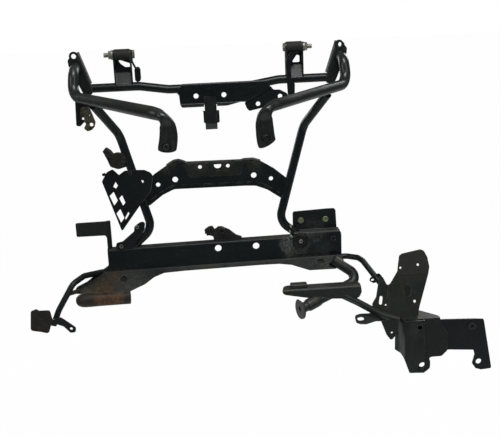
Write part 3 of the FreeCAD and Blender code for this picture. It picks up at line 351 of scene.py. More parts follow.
def plated(name, deep, bright, rough, dust_and_highlight_colour=(0.16, 0.15, 0.12),
           rust_colour=(0.13, 0.07, 0.035)):
    """Spangled plating under dust, which also stands as a painted top highlight, spotted with rust.
    """
    finish, tree, shader = new_finish(name)
    spangle = between(tree, cloud(tree, object_place(tree), 160.0, 5.0, 0.65), 0.3, 0.7)
    colour = blend_colours(tree, spangle, deep, bright)
    # Lighter colour on upward faces: dust, and also a painted top highlight
    dusty_and_lit = use_effect(tree, dust_and_top_highlight, Amount=0.35, Patch_Size=60.0)["Mask"]
    colour = blend_colours(tree, dusty_and_lit, colour, dust_and_highlight_colour)
    spots = use_effect(tree, rust_bloom, Start=0.66, Patch_Size=140.0)["Mask"]
    colour = blend_colours(tree, spots, colour, rust_colour)
    link(tree, colour, shader.inputs["Base Color"])
    shine = minus(tree, 0.85, times(tree, spots, 0.8))
    shine = maths(tree, "SUBTRACT", shine, dusty_and_lit, clamp=True)
    link(tree, shine, shader.inputs["Metallic"])
    link(tree, plus(tree, rough, times(tree, spangle, 0.18)), shader.inputs["Roughness"])
    grain = use_effect(tree, fine_grain, Scale=1200.0, Scratches=0.5)
    add_relief(tree, shader, grain["Height"], 0.4, 0.0001)
    return finish


frame_paint = painted(
    "frame paint", (0.0028, 0.0052, 0.0057), (0.0062, 0.0092, 0.0094), (0.028, 0.03, 0.027),
    0.28, 0.25, dust_and_highlight=0.3, wear_and_highlight=0.6, rust=0.72, bump=0.0001)
arm_paint = painted(
    "arm paint", (0.005, 0.0068, 0.0064), (0.0115, 0.0135, 0.0124), (0.074, 0.077, 0.069),
    0.27, 0.5, dust_and_highlight=0.36, wear_and_highlight=0.4, rust=0.78, bump=0.00006)
channel_paint = painted(
    "channel paint", (0.0022, 0.0052, 0.0062), (0.0056, 0.0092, 0.0096), (0.05, 0.05, 0.043),
    0.3, 0.2, dust_and_highlight=0.62, wear_and_highlight=0.7, rust=0.7, stains_and_highlights=(
        ((-0.205, -0.022, -0.048, 0.04), 0.7, (0.042, 0.032, 0.019)),
        ((-0.196, -0.014, -0.042, 0.018), 0.9, (0.07, 0.036, 0.016)),
        ((-0.22, -0.032, -0.054, 0.036), 1.0, (0.07, 0.044, 0.02)),
        ((-0.25, -0.037, -0.056, 0.022), 0.7, (0.08, 0.062, 0.045)),
        ((-0.165, -0.025, -0.05, 0.045), 0.7, (0.06, 0.062, 0.053)),
        ((0.138, 0.0, -0.004, 0.03), 1.0, (0.12, 0.13, 0.12)),
        ((0.155, -0.004, -0.028, 0.04), 0.5, (0.05, 0.053, 0.047)),
        ((0.21, -0.02, -0.035, 0.045), 0.6, (0.06, 0.062, 0.055))))
scuffed_paint = painted(
    "scuffed paint", (0.0062, 0.0085, 0.0078), (0.0165, 0.0185, 0.017), (0.075, 0.076, 0.068),
    0.34, 0.35, dust_and_highlight=0.6, wear_and_highlight=0.7, rust=0.68)
# The two lighter patches on the front cheek are a painted highlight on its fold, and the dark oval
# is painted shade in the cheek's hole
bracket_paint = painted(
    "bracket paint", (0.0048, 0.0075, 0.0072), (0.0112, 0.0138, 0.013), (0.055, 0.055, 0.048),
    0.34, 0.3, dust_and_highlight=0.55, wear_and_highlight=0.7, rust=0.7, stains_and_highlights=(
        ((0.352, -0.108, -0.142, 0.018), 0.7, (0.03, 0.031, 0.027)),
        ((0.362, -0.108, -0.155, 0.018), 0.5, (0.028, 0.03, 0.027))),
    oval=({"X": 0.3615, "Z": -0.1430, "Wide": 0.0048, "High": 0.0048}, 0.85,
          (0.0018, 0.002, 0.002), -7.0))
# The lighter part above the crease is painted light, and the dark oval is painted shade in the
# pressed oval
horn_paint = painted(
    "horn paint", (0.0042, 0.006, 0.0054), (0.0105, 0.0125, 0.0108), (0.05, 0.05, 0.042),
    0.36, 0.28, dust_and_highlight=0.6, wear_and_highlight=0.7, rust=0.7,
    panel=({"Left": 0.2, "Right": 0.5, "Low": -0.0568, "High": 0.1, "Lean": 0.0},
           0.5, (0.02, 0.0205, 0.017), 7.0),
    oval=({"X": 0.3467, "Z": -0.0838, "Wide": 0.0052, "High": 0.0112}, 0.75,
          (0.003, 0.0038, 0.0036), -7.0))
rusty_paint = painted(
    "rusty paint", (0.012, 0.0105, 0.009), (0.026, 0.021, 0.0155), (0.075, 0.06, 0.043),
    0.42, 0.25, dust_and_highlight=0.45, wear_and_highlight=0.4, rust=0.56, rust_patch=18.0, stains_and_highlights=(
        ((-0.202, -0.046, -0.076, 0.03), 0.8, (0.1, 0.047, 0.02)),
        ((-0.224, -0.046, -0.075, 0.022), 0.7, (0.13, 0.064, 0.028)),
        ((-0.19, -0.046, -0.07, 0.018), 0.6, (0.16, 0.084, 0.04)),
        ((-0.258, -0.042, -0.07, 0.024), 0.8, (0.036, 0.032, 0.025)),
        ((-0.32, -0.1, -0.09, 0.02), 0.7, (0.12, 0.05, 0.022))),
    rust_colours=((0.034, 0.014, 0.007), (0.14, 0.075, 0.037)))
old_rubber = painted(
    "old rubber", (0.009, 0.0095, 0.0088), (0.019, 0.019, 0.017), (0.05, 0.049, 0.044),
    0.62, 0.25, dust_and_highlight=0.45, wear_and_highlight=0.1, rust=0.9, bump=0.0003)
moulded_plastic = painted(
    "moulded plastic", (0.0055, 0.006, 0.006), (0.013, 0.013, 0.0118), (0.05, 0.048, 0.041),
    0.45, 0.3, dust_and_highlight=0.6, wear_and_highlight=0.2, rust=0.9)
# The panel mark paints light on the raised panel and on the top flange above it
plate_paint = painted(
    "plate paint", (0.0024, 0.005, 0.0055), (0.0058, 0.009, 0.0092), (0.085, 0.09, 0.082),
    0.28, 0.22, dust_and_highlight=0.8, wear_and_highlight=0.7, rust=0.75, bump=0.00015,
    panel=({"Left": -0.0454, "Right": 0.0473, "Low": 0.1392, "High": 0.19, "Lean": 0.45},
           0.55, (0.019, 0.0205, 0.018), 1.0),
    stains_and_highlights=(
        ((-0.085, 0.014, 0.168, 0.03), 0.8, (0.045, 0.045, 0.038)),
        ((-0.035, 0.014, 0.168, 0.035), 0.9, (0.055, 0.055, 0.046)),
        ((0.02, 0.014, 0.168, 0.035), 0.9, (0.05, 0.05, 0.042)),
        ((0.075, 0.014, 0.17, 0.035), 0.8, (0.045, 0.045, 0.038)),
        ((0.15, -0.002, -0.013, 0.03), 0.75, (0.07, 0.075, 0.068)),
        ((0.176, -0.002, 0.01, 0.026), 0.6, (0.06, 0.065, 0.06)),
        ((0.16, 0.004, 0.022, 0.018), 0.6, (0.08, 0.085, 0.076)),
        ((0.19, 0.004, 0.026, 0.03), 0.6, (0.06, 0.065, 0.058)),
        ((0.2, 0.0, -0.015, 0.03), 0.35, (0.05, 0.06, 0.057))))
old_clip_zinc = plated("old clip zinc", (0.05, 0.047, 0.036), (0.17, 0.16, 0.125), 0.42)
dull_zinc = plated("dull zinc", (0.14, 0.14, 0.12), (0.36, 0.35, 0.3), 0.36)
olive_zinc = plated("olive zinc", (0.17, 0.185, 0.11), (0.3, 0.315, 0.2), 0.5)
bare_weld = plated("bare weld", (0.2, 0.2, 0.17), (0.5, 0.5, 0.44), 0.5)
black_rubber = painted(
    "black rubber", (0.0012, 0.0013, 0.0013), (0.0035, 0.0037, 0.0036), (0.03, 0.03, 0.027),
    0.34, 0.35, dust_and_highlight=0.2, wear_and_highlight=0.1, rust=0.9)

slot_finish = {
    "black_paint": frame_paint, "satin_paint": arm_paint, "worn_paint": channel_paint,
    "rusty_steel": rusty_paint, "rubber": old_rubber, "zinc": dull_zinc,
    "black_plastic": moulded_plastic}
own_finish = {
    node: finish for finish, group in (
        (frame_paint, ("wing_plate", "left_lower_rod", "end_tab")),
        (plate_paint, ("middle_cross_plate", "nut_plate")),
        (horn_paint, ("horn_plate",)),
        (scuffed_paint, ("end_disc", "foot_bar", "foot_block", "wing_weld_nut")),
        (bracket_paint, ("ring_tab", "centre_hanger_tab", "box_bracket", "pointed_tab",
                         "step_bracket", "left_lug_plate", "right_lug_plate")),
        (black_rubber, ("grommet", "grommet_collar")),
        (old_clip_zinc, ("speed_clip",)),
        (olive_zinc, ("pressed_nuts",))) for node in group}


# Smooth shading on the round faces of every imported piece

merge_distance = 0.00001
sharp_angle = math.radians(28)


def make_smooth_rounds():
    tree = bpy.data.node_groups.new("smooth rounds", "GeometryNodeTree")
    tree.interface.new_socket(name="Geometry", in_out="INPUT", socket_type="NodeSocketGeometry")
    tree.interface.new_socket(name="Geometry", in_out="OUTPUT", socket_type="NodeSocketGeometry")
    given = add_node(tree, "NodeGroupInput")
    result = add_node(tree, "NodeGroupOutput")
    merged = add_node(tree, "GeometryNodeMergeByDistance")
    merged.inputs["Distance"].default_value = merge_distance
    smooth = add_node(tree, "GeometryNodeSetShadeSmooth", domain="FACE")
    sharp = add_node(tree, "GeometryNodeSetShadeSmooth", domain="EDGE")
    sharp.inputs["Shade Smooth"].default_value = False
    angle = add_node(tree, "GeometryNodeInputMeshEdgeAngle")
    steep = maths(tree, "GREATER_THAN", angle.outputs["Unsigned Angle"], sharp_angle)
    link(tree, given.outputs[0], merged.inputs["Geometry"])
    link(tree, merged.outputs["Geometry"], smooth.inputs["Geometry"])
    link(tree, smooth.outputs["Geometry"], sharp.inputs["Geometry"])
    link(tree, steep, sharp.inputs["Selection"])
    link(tree, sharp.outputs["Geometry"], result.inputs[0])
    return tree


smooth_rounds = make_smooth_rounds()
slot_of = {part["node"]: part["material_slot"] for part in frame["record"]["subparts"]}
for name, piece in nodes.items():
    piece.data.materials.clear()
    piece.data.materials.append(own_finish.get(name, slot_finish[slot_of[name]]))
    rounds = piece.modifiers.new("smooth rounds", "NODES")
    rounds.node_group = smooth_rounds


# New pieces. Their sizes and places are in millimetres, in the frame of the assembly.

to_viewer = (0, -1, 0)
to_back = (0, 1, 0)
arm_tube_radius = 9.55
both_sides = ((-1, "left"), (1, "right"))
first_disc_radius = 0.01
first_step = (0, 0, 0.001)
sorting_way = Vector((1.0, 0.618, 0.367))
soft_edge_angle = math.radians(30)


def rounded_path(corners, radii, steps=8):
    """Points along straight runs joined by arcs."""
    path = [Vector(corners[0])]
    for index, radius in enumerate(radii, 1):
        before, corner, after = (Vector(corners[i]) for i in (index - 1, index, index + 1))
        come = (corner - before).normalized()
        leave = (after - corner).normalized()
        bend = come.angle(leave)
        cut = radius * math.tan(bend / 2)
        inward = (leave - come * come.dot(leave)).normalized()
        middle = corner - come * cut + inward * radius
        for step in range(steps + 1):
            turn = bend * step / steps
            path.append(middle + (come * math.sin(turn) - inward * math.cos(turn)) * radius)
    path.append(Vector(corners[-1]))
    return path


def tangents(path):
    found = []
    for index in range(len(path)):
        before = path[max(index - 1, 0)]
        after = path[min(index + 1, len(path) - 1)]
        found.append((after - before).normalized())
    return found


def settle_order(shape):
    """Sort a mesh by place, so that its order is the same in every run."""
    shape.verts.sort(key=lambda corner: corner.co.dot(sorting_way))
    shape.edges.sort(key=lambda edge: (edge.verts[0].co + edge.verts[1].co).dot(sorting_way))
    shape.faces.sort(key=lambda face: face.calc_center_median().dot(sorting_way))


def skin(name, rings, finish, replaced=None, soft=40):
    """A closed piece: a first disc is extruded and each new face put on the next ring."""
    clear_selection()
    sides = len(rings[0])
    middle = sum(rings[0], Vector()) / sides
    bpy.ops.mesh.primitive_circle_add(
        vertices=sides, radius=first_disc_radius, fill_type="NGON", location=middle)
    piece = bpy.context.object
    piece.name = name
    bpy.ops.object.transform_apply(location=True, rotation=True, scale=True)
    bpy.ops.object.mode_set(mode="EDIT")
    bpy.ops.mesh.select_mode(type="FACE")
    bpy.ops.mesh.select_all(action="SELECT")
    for index, ring in enumerate(rings):
        if index:
            bpy.ops.mesh.extrude_region_move(TRANSFORM_OT_translate={"value": first_step})
        shape = bmesh.from_edit_mesh(piece.data)
        leading = next(face for face in shape.faces if face.select)
        for corner, place in zip(leading.verts, ring):
            corner.co = place
        bmesh.update_edit_mesh(piece.data)
    settle_order(shape)
    bmesh.update_edit_mesh(piece.data)
    bpy.ops.mesh.select_all(action="SELECT")
    bpy.ops.mesh.normals_make_consistent(inside=False)
    bpy.ops.object.mode_set(mode="OBJECT")
    bpy.ops.object.shade_smooth_by_angle(angle=math.radians(soft))
    piece.data.materials.append(finish)
    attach(piece, "root")
    if replaced:
        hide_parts(replaced)
    return piece


def ring_of(middle, across, front, width, ahead, behind, dish, sides, sag=0.0):
    """One ring of a tube, in metres: its front may be dished and its middle may sag."""
    points = []
    for step in range(sides):
        angle = math.tau * step / sides
        wide = math.cos(angle)
        deep = math.sin(angle)
        reach = ahead * deep - dish * deep ** 4 if deep > 0 else behind * deep
        drop = Vector((0, 0, -sag * (1 - wide * wide)))
        points.append((middle + across * wide * width + front * reach + drop) / 1000)
    return points


def round_ring(middle, across, way, radius, sides):
    return ring_of(middle, across, way.cross(across), radius, radius, radius, 0, sides)


def round_rings(path, radii, sides):
    """Circles square to a path, turned as little as possible from one to the next."""
    ways = tangents(path)
    across = ways[0].orthogonal()
    rings = []
    for place, way, radius in zip(path, ways, radii):
        across = (across - way * across.dot(way)).normalized()
        rings.append(round_ring(place, across, way, radius, sides))
    return rings


def turned(name, place, axis, profile, finish, sides=24, replaced=None):
    """A turned piece: profile rows are how far along the axis and the radius there."""
    axis = Vector(axis).normalized()
    across = axis.orthogonal().normalized()
    rings = [
        round_ring(Vector(place) + axis * along, across, axis, radius, sides)
        for along, radius in profile]
    return skin(name, rings, finish, replaced, soft=30)


def carve(piece, tool, way):
    select_only(piece)
    cutter = piece.modifiers.new("carve", "BOOLEAN")
    cutter.operation = way
    cutter.object = tool
    cutter.solver = "EXACT"
    bpy.ops.object.modifier_apply(modifier=cutter.name)
    bpy.data.objects.remove(tool, do_unlink=True)


def drill(piece, start, radius, depth):
    """A round hole through a piece, from its front to its back."""
    bit = turned("drill", start, to_back, ((0.0, radius), (depth, radius)),
                 piece.data.materials[0], 32)
    carve(piece, bit, "DIFFERENCE")


def soften(piece, width, steps=2):
    select_only(piece)
    rounding = piece.modifiers.new("soft edges", "BEVEL")
    rounding.width = width / 1000
    rounding.segments = steps
    rounding.limit_method = "ANGLE"
    rounding.angle_limit = soft_edge_angle
    bpy.ops.object.modifier_apply(modifier=rounding.name)
    bpy.ops.object.shade_smooth_by_angle(angle=math.radians(35))


def plain_prism(name, ring_a, ring_b, finish):
    rings = [[Vector(corner) / 1000 for corner in ring] for ring in (ring_a, ring_b)]
    return skin(name, rings, finish, soft=30)


# Arms: round tube that is pressed into a dished hand, whose tip sags

shoulder_x = {-1: -240.0, 1: 243.0}
shoulder_z = 344.0
rows_between = 5
sagging_rows = 2 * rows_between

# Rows: inner edge x and z, outer edge x and z, y, depth in front, depth behind, dish
left_hand = (
    (-99.2, 282.0, -98.6, 303.2, -193, 9.8, 9.8, 0),
    (-89.6, 280.3, -88.3, 300.1, -199, 9.8, 9.6, 0),
    (-88.4, 280.2, -80.9, 296.2, -203, 10, 9, 0),
    (-88.0, 279.9, -72.8, 289.4, -206, 9.5, 8, 0.5),
    (-87.6, 278.6, -66.4, 280.2, -208, 8.8, 6.5, 5.5),
    (-88.0, 273.1, -62.6, 273.7, -209, 7.5, 5, 9.5),
    (-88.3, 265.6, -60.9, 265.1, -209.6, 6.2, 4.2, 9),
    (-89.0, 257.9, -60.3, 256.4, -209.6, 5.4, 3.8, 8),
    (-90.4, 248.4, -61.0, 247.8, -209.6, 5.4, 3.8, 8),
    (-92.6, 238.8, -63.0, 237.2, -209.6, 5.4, 3.8, 8),
    (-92.3, 236.3, -64.0, 232.8, -209.6, 4.6, 3.4, 6.8))
right_hand = (
    (102.8, 287.1, 98.0, 304.9, -193, 9.8, 9.8, 0),
    (93.2, 285.6, 86.8, 301.3, -199, 9.8, 9.6, 0),
    (91.2, 284.8, 79.0, 296.5, -203, 10, 9, 0),
    (90.5, 283.7, 72.3, 290.2, -206, 9.5, 8, 0.5),
    (90.2, 281.9, 66.8, 281.2, -208, 8.8, 6.5, 5.5),
    (90.5, 276.3, 64.2, 272.9, -209, 7.5, 5, 9.5),
    (90.8, 269.7, 62.9, 265.3, -209.6, 6.2, 4.2, 9),
    (91.7, 260.0, 62.9, 256.6, -209.6, 5.4, 3.8, 8),
    (92.6, 251.2, 63.3, 246.9, -209.6, 5.4, 3.8, 8),
    (94.2, 241.4, 64.4, 238.1, -209.6, 5.4, 3.8, 8),
    (95.1, 238.4, 65.6, 235.1, -209.6, 4.6, 3.4, 6.8))


def smooth_rows(rows):
    """Rows between the given ones, on a smooth curve through them."""
    out = []
    last = len(rows) - 1
    for index in range(last):
        ends = [rows[min(max(index + k, 0), last)] for k in (-1, 0, 1, 2)]
        for step in range(rows_between):
            t = step / rows_between
            out.append([
                0.5 * (2 * b + (c - a) * t + (2 * a - 5 * b + 4 * c - d) * t * t
                       + (3 * b - a - 3 * c + d) * t * t * t)
                for a, b, c, d in zip(*ends)])
    out.append(list(rows[last]))
    return out


def make_arm(name, side, hand, sag, sides=48):
    """The tube runs forward from the lug plate and turns in, and the hand hangs from it."""
    rows = smooth_rows(hand)
    middles = [Vector(((a + c) / 2, y, (b + d) / 2)) for a, b, c, d, y, *_ in rows]
    x = shoulder_x[side]
    path = rounded_path(
        [(x, 29.5, shoulder_z), (x, 2.0, shoulder_z), (x + side * 3.5, -8.0, 300.0),
         tuple(middles[0])], [17.0, 27.0])
    tube_path = path[:-1]
    ways = tangents(tube_path + middles)
    sag_start = len(rows) - 1 - sagging_rows
    rings = []
    for index, (a, b, c, d, y, ahead, behind, dish) in enumerate(rows):
        way = ways[len(tube_path) + index]
        edge_to_edge = Vector((c - a, 0, d - b))
        across = (edge_to_edge - way * edge_to_edge.dot(way)).normalized()
        drop = sag * max(0, index - sag_start) / sagging_rows
        rings.append(ring_of(
            middles[index], across, way.cross(across) * -side, edge_to_edge.length / 2, ahead,
            behind, dish, sides, drop))
    a, b, c, d = rows[0][:4]
    across = Vector((c - a, 0, d - b))
    for place, way in reversed(list(zip(tube_path, ways))):
        across = (across - way * across.dot(way)).normalized()
        rings.insert(0, ring_of(
            place, across, way.cross(across) * -side, arm_tube_radius, arm_tube_radius,
            arm_tube_radius, 0, sides))
    skin(name, rings, arm_paint, name)


make_arm("left_arm_tube", -1, left_hand, 4.5)
make_arm("right_arm_tube", 1, right_hand, 5.0)

# Studs in the hands
stud_profile = (
    (-2.0, 3.0), (-2.0, 5.2), (2.2, 5.2), (2.9, 4.6), (2.9, 3.3), (1.2, 3.1), (1.2, 0.4))
for label, place in (("left", (-79.5, -209.0, 239.7)), ("right", (78.9, -209.0, 246.0))):
    turned(label + "_paddle_stud", place, to_viewer, stud_profile, scuffed_paint)

# Bent tube at the right, and the collar at its end
bent_path = rounded_path(
    [(216.0, -16.5, -31.5), (268.0, -33.0, -66.0), (146.0, -75.0, -103.5)], [15.0], 14)
bent_radii = [arm_tube_radius] * len(bent_path)
skin("right_bent_tube", round_rings(bent_path, bent_radii, 32), scuffed_paint,
     "right_bent_tube")
turned("tube_collar", (157.5, -71.0, -99.9), (0.908, 0.313, 0.279),
       ((0.0, 9.0), (0.2, 10.9), (1.2, 11.6), (6.0, 11.9), (20.0, 11.6), (26.0, 10.8), (29.0, 9.2)),
       scuffed_paint, 40)

# Weld nuts behind the two holes in the sloping shelf of the channel
shelf_down = Vector((0, 0.588, -0.809))
behind_shelf = 2.35
shelf_nut_profile = (
    (0.0, 9.6), (0.0, 10.3), (4.4, 10.3), (5.2, 9.4), (5.2, 3.4), (1.0, 3.2), (0.6, 0.3))
for label, hole in (("left", (-181.0, -15.4, -44.4)), ("right", (193.5, -9.7, -35.7))):
    turned(label + "_shelf_nut", Vector(hole) + shelf_down * behind_shelf, shelf_down,
           shelf_nut_profile, frame_paint, 6)

# Front cheek of the box bracket: side wall, front wall and hole tab pressed from one sheet
cheek_sheet = 2.2
cheek_front = -108
cheek_inside = cheek_front + cheek_sheet
cheek_plan = [
    (323.7, -76.0), (333.6, cheek_front), (371.2, cheek_front), (371.8, -100.2),
    (369.6, -100.2), (369.0, cheek_inside), (334.8, cheek_inside), (325.9, -76.0)]
cheek_outline = [
    (316.7, -127.6), (370.5, -129.4), (371.8, -200.8), (379.6, -205.4), (383.4, -212.0),
    (384.0, -218.6), (381.8, -226.0), (377.4, -231.8), (370.6, -235.3), (343.0, -233.4),
    (331.2, -199.4), (319.9, -191.8)]
cheek = plain_prism(
    "box_front_cheek", [(x, y, -250.0) for x, y in cheek_plan],
    [(x, y, -120.0) for x, y in cheek_plan], bracket_paint)
cheek_blank = plain_prism(
    "cheek blank", [(x, -150.0, z) for x, z in cheek_outline],
    [(x, -40.0, z) for x, z in cheek_outline], bracket_paint)
carve(cheek, cheek_blank, "INTERSECT")
drill(cheek, (367.8, -130.0, -220.6), 7.0, 60.0)
drill(cheek, (361.5, -130.0, -143.0), 4.2, 27.0)
soften(cheek, 0.7)

# Raised panel of the middle cross plate, with its three holes
panel_outline = [(-45.4, 139.2), (47.3, 139.2), (58.9, 165.0), (-57.0, 165.0)]
panel = plain_prism(
    "cross_plate_panel", [(x, 4.6, z) for x, z in panel_outline],
    [(x, 3.5, z) for x, z in panel_outline], plate_paint)
for x, z, wide in ((-26.1, 157.9, 5.0), (6.2, 157.3, 8.2), (25.3, 157.5, 5.0)):
    drill(panel, (x, -5.0, z), wide, 20.0)
soften(panel, 0.5)

# Grommet: domed rim and sunk centre pin
turned("grommet_dome", (156.0, -2.3, 7.1), to_viewer,
       ((-1.0, 13.0), (0.5, 14.2), (3.0, 14.4), (4.8, 13.4), (6.2, 11.0), (6.6, 8.6), (6.4, 7.0),
        (5.4, 6.2), (5.2, 4.8), (6.2, 4.2), (7.0, 3.4), (7.2, 2.0), (7.2, 0.3)),
       black_rubber, 40)
turned("grommet_pin", (157.0, -8.6, 6.2), to_viewer,
       ((-2.0, 4.0), (0.6, 4.0), (1.2, 3.4), (0.9, 1.8), (0.4, 1.5), (0.4, 0.3)),
       dull_zinc, 24)

# Faces of the pressed nuts
nut_face = ((-0.6, 5.9), (0.7, 5.9), (1.4, 5.1), (1.4, 2.7), (0.8, 2.3), (0.8, 0.3))
for label, x in (("left", 160.5), ("right", 208.0)):
    turned(label + "_nut_face", (x, 13.8, 41.0), to_viewer, nut_face, olive_zinc, 32)

# Bare weld marks at the edge of the nut plate
for label, place, way, wide in (
        ("upper", (138.8, -1.0, 35.2), (0.5, -0.4, -1), 2.0),
        ("middle", (136.8, -2.2, 25.8), (0.3, -0.4, -1), 1.4),
        ("lower", (139.2, -3.0, 16.0), (0.7, -0.3, -1), 2.4)):
    turned(label + "_weld_spatter", place, way,
           ((-3.0, wide * 0.4), (-1.6, wide), (0.4, wide * 0.8), (2.0, wide), (3.4, wide * 0.5),
            (3.8, wide * 0.1)), bare_weld, 14)

# Guide tab: boss, socket and finger
turned("guide_boss", (-174.5, 6.8, 178.0), to_viewer,
       ((-2.2, 14.4), (0.0, 15.4), (3.6, 15.4), (4.6, 14.4), (4.8, 11.4), (4.6, 0.3)),
       moulded_plastic, 40)
turned("guide_socket", (-164.4, 2.6, 180.0), to_viewer,
       ((-1.0, 5.6), (1.2, 5.6), (1.7, 5.0), (1.4, 4.2), (0.0, 3.6), (0.0, 0.3)),
       moulded_plastic, 24)
finger_way = Vector((0.65, 0, 0.76))
finger_rings = [
    ring_of(Vector((x, 5.6, z)), finger_way, Vector(to_viewer), wide, thick, thick, 0, 20)
    for x, z, wide, thick in (
        (-178.0, 181.0, 7.4, 3.4), (-186.0, 188.6, 6.0, 3.4), (-192.0, 193.8, 5.8, 3.2),
        (-196.6, 197.8, 5.8, 3.0), (-198.6, 199.6, 4.6, 2.2))]
skin("guide_finger", finger_rings, moulded_plastic)

# Skid roll: round nose, and an open end at the right
turned("skid_roll", (-270.3, -33.6, -75.0), (1, 0, 0.011),
       ((0.0, 1.0), (0.5, 4.0), (1.8, 6.9), (4.0, 9.3), (7.0, 11.2), (11.0, 12.5), (16.0, 13.2),
        (26.0, 13.4), (44.0, 13.0), (100.4, 13.0), (101.1, 12.4), (101.1, 10.9), (99.8, 10.4),
        (62.0, 10.2), (62.0, 0.4)), rusty_paint, 48, "skid_roll")

# Raised eyes round the holes of the lug plates
for side, label in both_sides:
    lug_x, lug_z = side * 240.5, 367.0
    eye = turned(label + "_lug_eye", (lug_x, 29.5, lug_z), to_back, ((0.0, 8.4), (2.4, 8.4)),
                 bracket_paint, 40)
    drill(eye, (lug_x, 20.0, lug_z), 4.3, 30.0)
    soften(eye, 0.4)

# Wiring clip: claws and boss
for number, place in enumerate(((-19.8, 8.4, 29.8), (-13.6, 8.2, 30.6), (-7.0, 8.2, 30.6))):
    turned("clip_claw_%d" % number, place, (-0.35, -0.3, 1),
           ((-6.0, 2.4), (3.0, 2.8), (6.6, 2.6), (8.2, 1.6), (8.4, 0.4)),
           moulded_plastic, 12)
turned("clip_boss", (8.3, 6.0, 33.4), to_viewer,
       ((0.0, 6.6), (5.0, 6.6), (6.0, 5.8), (6.0, 3.4), (2.0, 3.2), (2.0, 0.3)),
       moulded_plastic, 24)


def make_lower_arm():
    """A ridged strip that runs out from under the foot bar."""
    line = [Vector(place) for place in (
        (226.5, -63.0, -87.3), (251.5, -70.0, -99.3), (274.4, -78.0, -111.4),
        (298.1, -86.0, -124.2), (326.0, -92.0, -131.4))]
    section = (
        (-6.8, -1.0), (-6.4, 1.6), (-3.4, 3.4), (-0.6, 4.0), (0.6, 5.6), (2.4, 6.2),
        (5.2, 4.6), (6.6, 1.6), (6.8, -2.0), (3.0, -2.6), (-3.0, -2.6))
    rings = []
    for place, way in zip(line, tangents(line)):
        level = way.cross(Vector((0, 1, 0.3))).normalized()
        front = way.cross(level).normalized()
        if front.y > 0:
            front = -front
        rings.append([(place + level * wide + front * deep) / 1000 for wide, deep in section])
    skin("right_lower_arm", rings, bracket_paint, "right_lower_arm", soft=60)


make_lower_arm()


# Weld beads where the tubes meet the plates

bead_step = 1.1


def weld_bead(name, place, axis, reach, size):
    """A scalloped bead laid round a tube."""
    axis = Vector(axis).normalized()
    across = axis.orthogonal().normalized()
    other = axis.cross(across)
    steps = int(reach * math.tau / bead_step)
    path = []
    for step in range(steps + 1):
        angle = math.tau * step / steps
        path.append(Vector(place) + (across * math.cos(angle) + other * math.sin(angle)) * reach)
    radii = [size * (0.8 + 0.35 * abs(math.sin(step * 1.05))) for step in range(steps + 1)]
    skin(name, round_rings(path, radii, 8), frame_paint, soft=70)


for side, label in both_sides:
    weld_bead(label + "_arm_weld", (shoulder_x[side], 28.6, shoulder_z), to_back, 9.9, 1.2)
    weld_bead(label + "_cross_weld", (side * 221.0, 40.0, 307.2), (1, 0, 0), 8.0, 1.2)
weld_bead("bent_tube_weld", (216.4, -16.6, -31.8), (0.77, -0.24, -0.59), 9.7, 1.3)


# Studio: pale floor, white surround, soft lamps and the camera. Places here are in metres.

floor_height = -0.75
floor_glow = 0.985
lit_surround, seen_surround = 0.13, 0.87
lamp_aim = Vector((0.06, 0, 0.05))
lamps = (
    ("top softbox", (0.2, -0.9, 1.8), 0.8, 24.0),
    ("left softbox", (-1.6, -1.3, 0.9), 0.8, 6.0),
    ("front softbox", (1.2, -1.6, 1.0), 0.9, 5.0),
    ("right back softbox", (1.5, 1.7, 1.1), 1.0, 20.0),
    ("left back softbox", (-1.5, 1.7, 0.6), 1.0, 16.0))
photo_yaw, photo_dip, photo_roll = math.radians(3.9), math.radians(16.0), math.radians(2.3)
photo_aim = Vector((0.0624, 0, 0.0538))
photo_distance = 1.6
photo_lens = 61.2


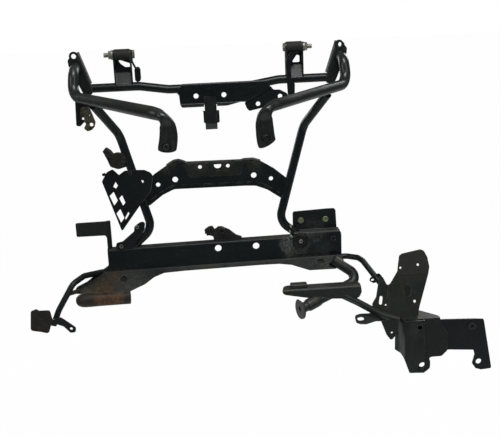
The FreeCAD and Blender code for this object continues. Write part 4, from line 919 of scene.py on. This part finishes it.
def make_floor():
    """A pale floor, which the camera sees almost white."""
    clear_selection()
    bpy.ops.mesh.primitive_plane_add(size=30.0, location=(0, 0, floor_height))
    floor = bpy.context.object
    floor.name = "studio_floor"
    surface, tree, shader = new_finish("studio floor")
    shader.inputs["Base Color"].default_value = (0.85, 0.85, 0.85, 1)
    shader.inputs["Roughness"].default_value = 0.9
    seen = add_node(tree, "ShaderNodeLightPath").outputs["Is Camera Ray"]
    glow = add_node(tree, "ShaderNodeEmission")
    glow.inputs["Strength"].default_value = 1.0
    joined = add_node(tree, "ShaderNodeMixShader")
    link(tree, times(tree, seen, floor_glow), joined.inputs[0])
    link(tree, shader.outputs[0], joined.inputs[1])
    link(tree, glow.outputs[0], joined.inputs[2])
    link(tree, joined.outputs[0], tree.nodes["Material Output"].inputs["Surface"])
    floor.data.materials.append(surface)


def make_surround():
    """White where the camera sees it, and dimmer as a light."""
    world = bpy.data.worlds.new("white surround")
    bpy.context.scene.world = world
    world.use_nodes = True
    tree = world.node_tree
    back = tree.nodes["Background"]
    paths = add_node(tree, "ShaderNodeLightPath").outputs
    seen = maths(tree, "MAXIMUM", paths["Is Camera Ray"], paths["Is Transmission Ray"])
    strength = plus(tree, times(tree, seen, seen_surround), lit_surround)
    link(tree, strength, back.inputs["Strength"])
    back.inputs["Color"].default_value = (1, 1, 1, 1)


def hang_lamps():
    for name, place, size, power in lamps:
        lamp = bpy.data.lights.new(name, "AREA")
        lamp.size = size
        lamp.energy = power
        holder = bpy.data.objects.new(name, lamp)
        bpy.context.scene.collection.objects.link(holder)
        holder.location = place
        aim = lamp_aim - Vector(place)
        holder.rotation_euler = aim.to_track_quat("-Z", "Y").to_euler()


def make_camera():
    """The camera at the photograph's viewing angle."""
    level = Vector((math.cos(photo_yaw), -math.sin(photo_yaw), 0))
    ahead = Vector((
        math.sin(photo_yaw) * math.cos(photo_dip), math.cos(photo_yaw) * math.cos(photo_dip),
        -math.sin(photo_dip)))
    upright = level.cross(ahead)
    across = level * math.cos(photo_roll) - upright * math.sin(photo_roll)
    above = level * math.sin(photo_roll) + upright * math.cos(photo_roll)
    lens = bpy.data.cameras.new("photo camera")
    lens.sensor_width = 36.0
    lens.lens = photo_lens
    lens.clip_end = 100.0
    camera = bpy.data.objects.new("photo camera", lens)
    bpy.context.scene.collection.objects.link(camera)
    camera.rotation_euler = Matrix((across, above, -ahead)).transposed().to_euler()
    camera.location = photo_aim - ahead * photo_distance
    bpy.context.scene.camera = camera


make_floor()
make_surround()
hang_lamps()
make_camera()
bpy.context.scene.view_settings.view_transform = "Standard"
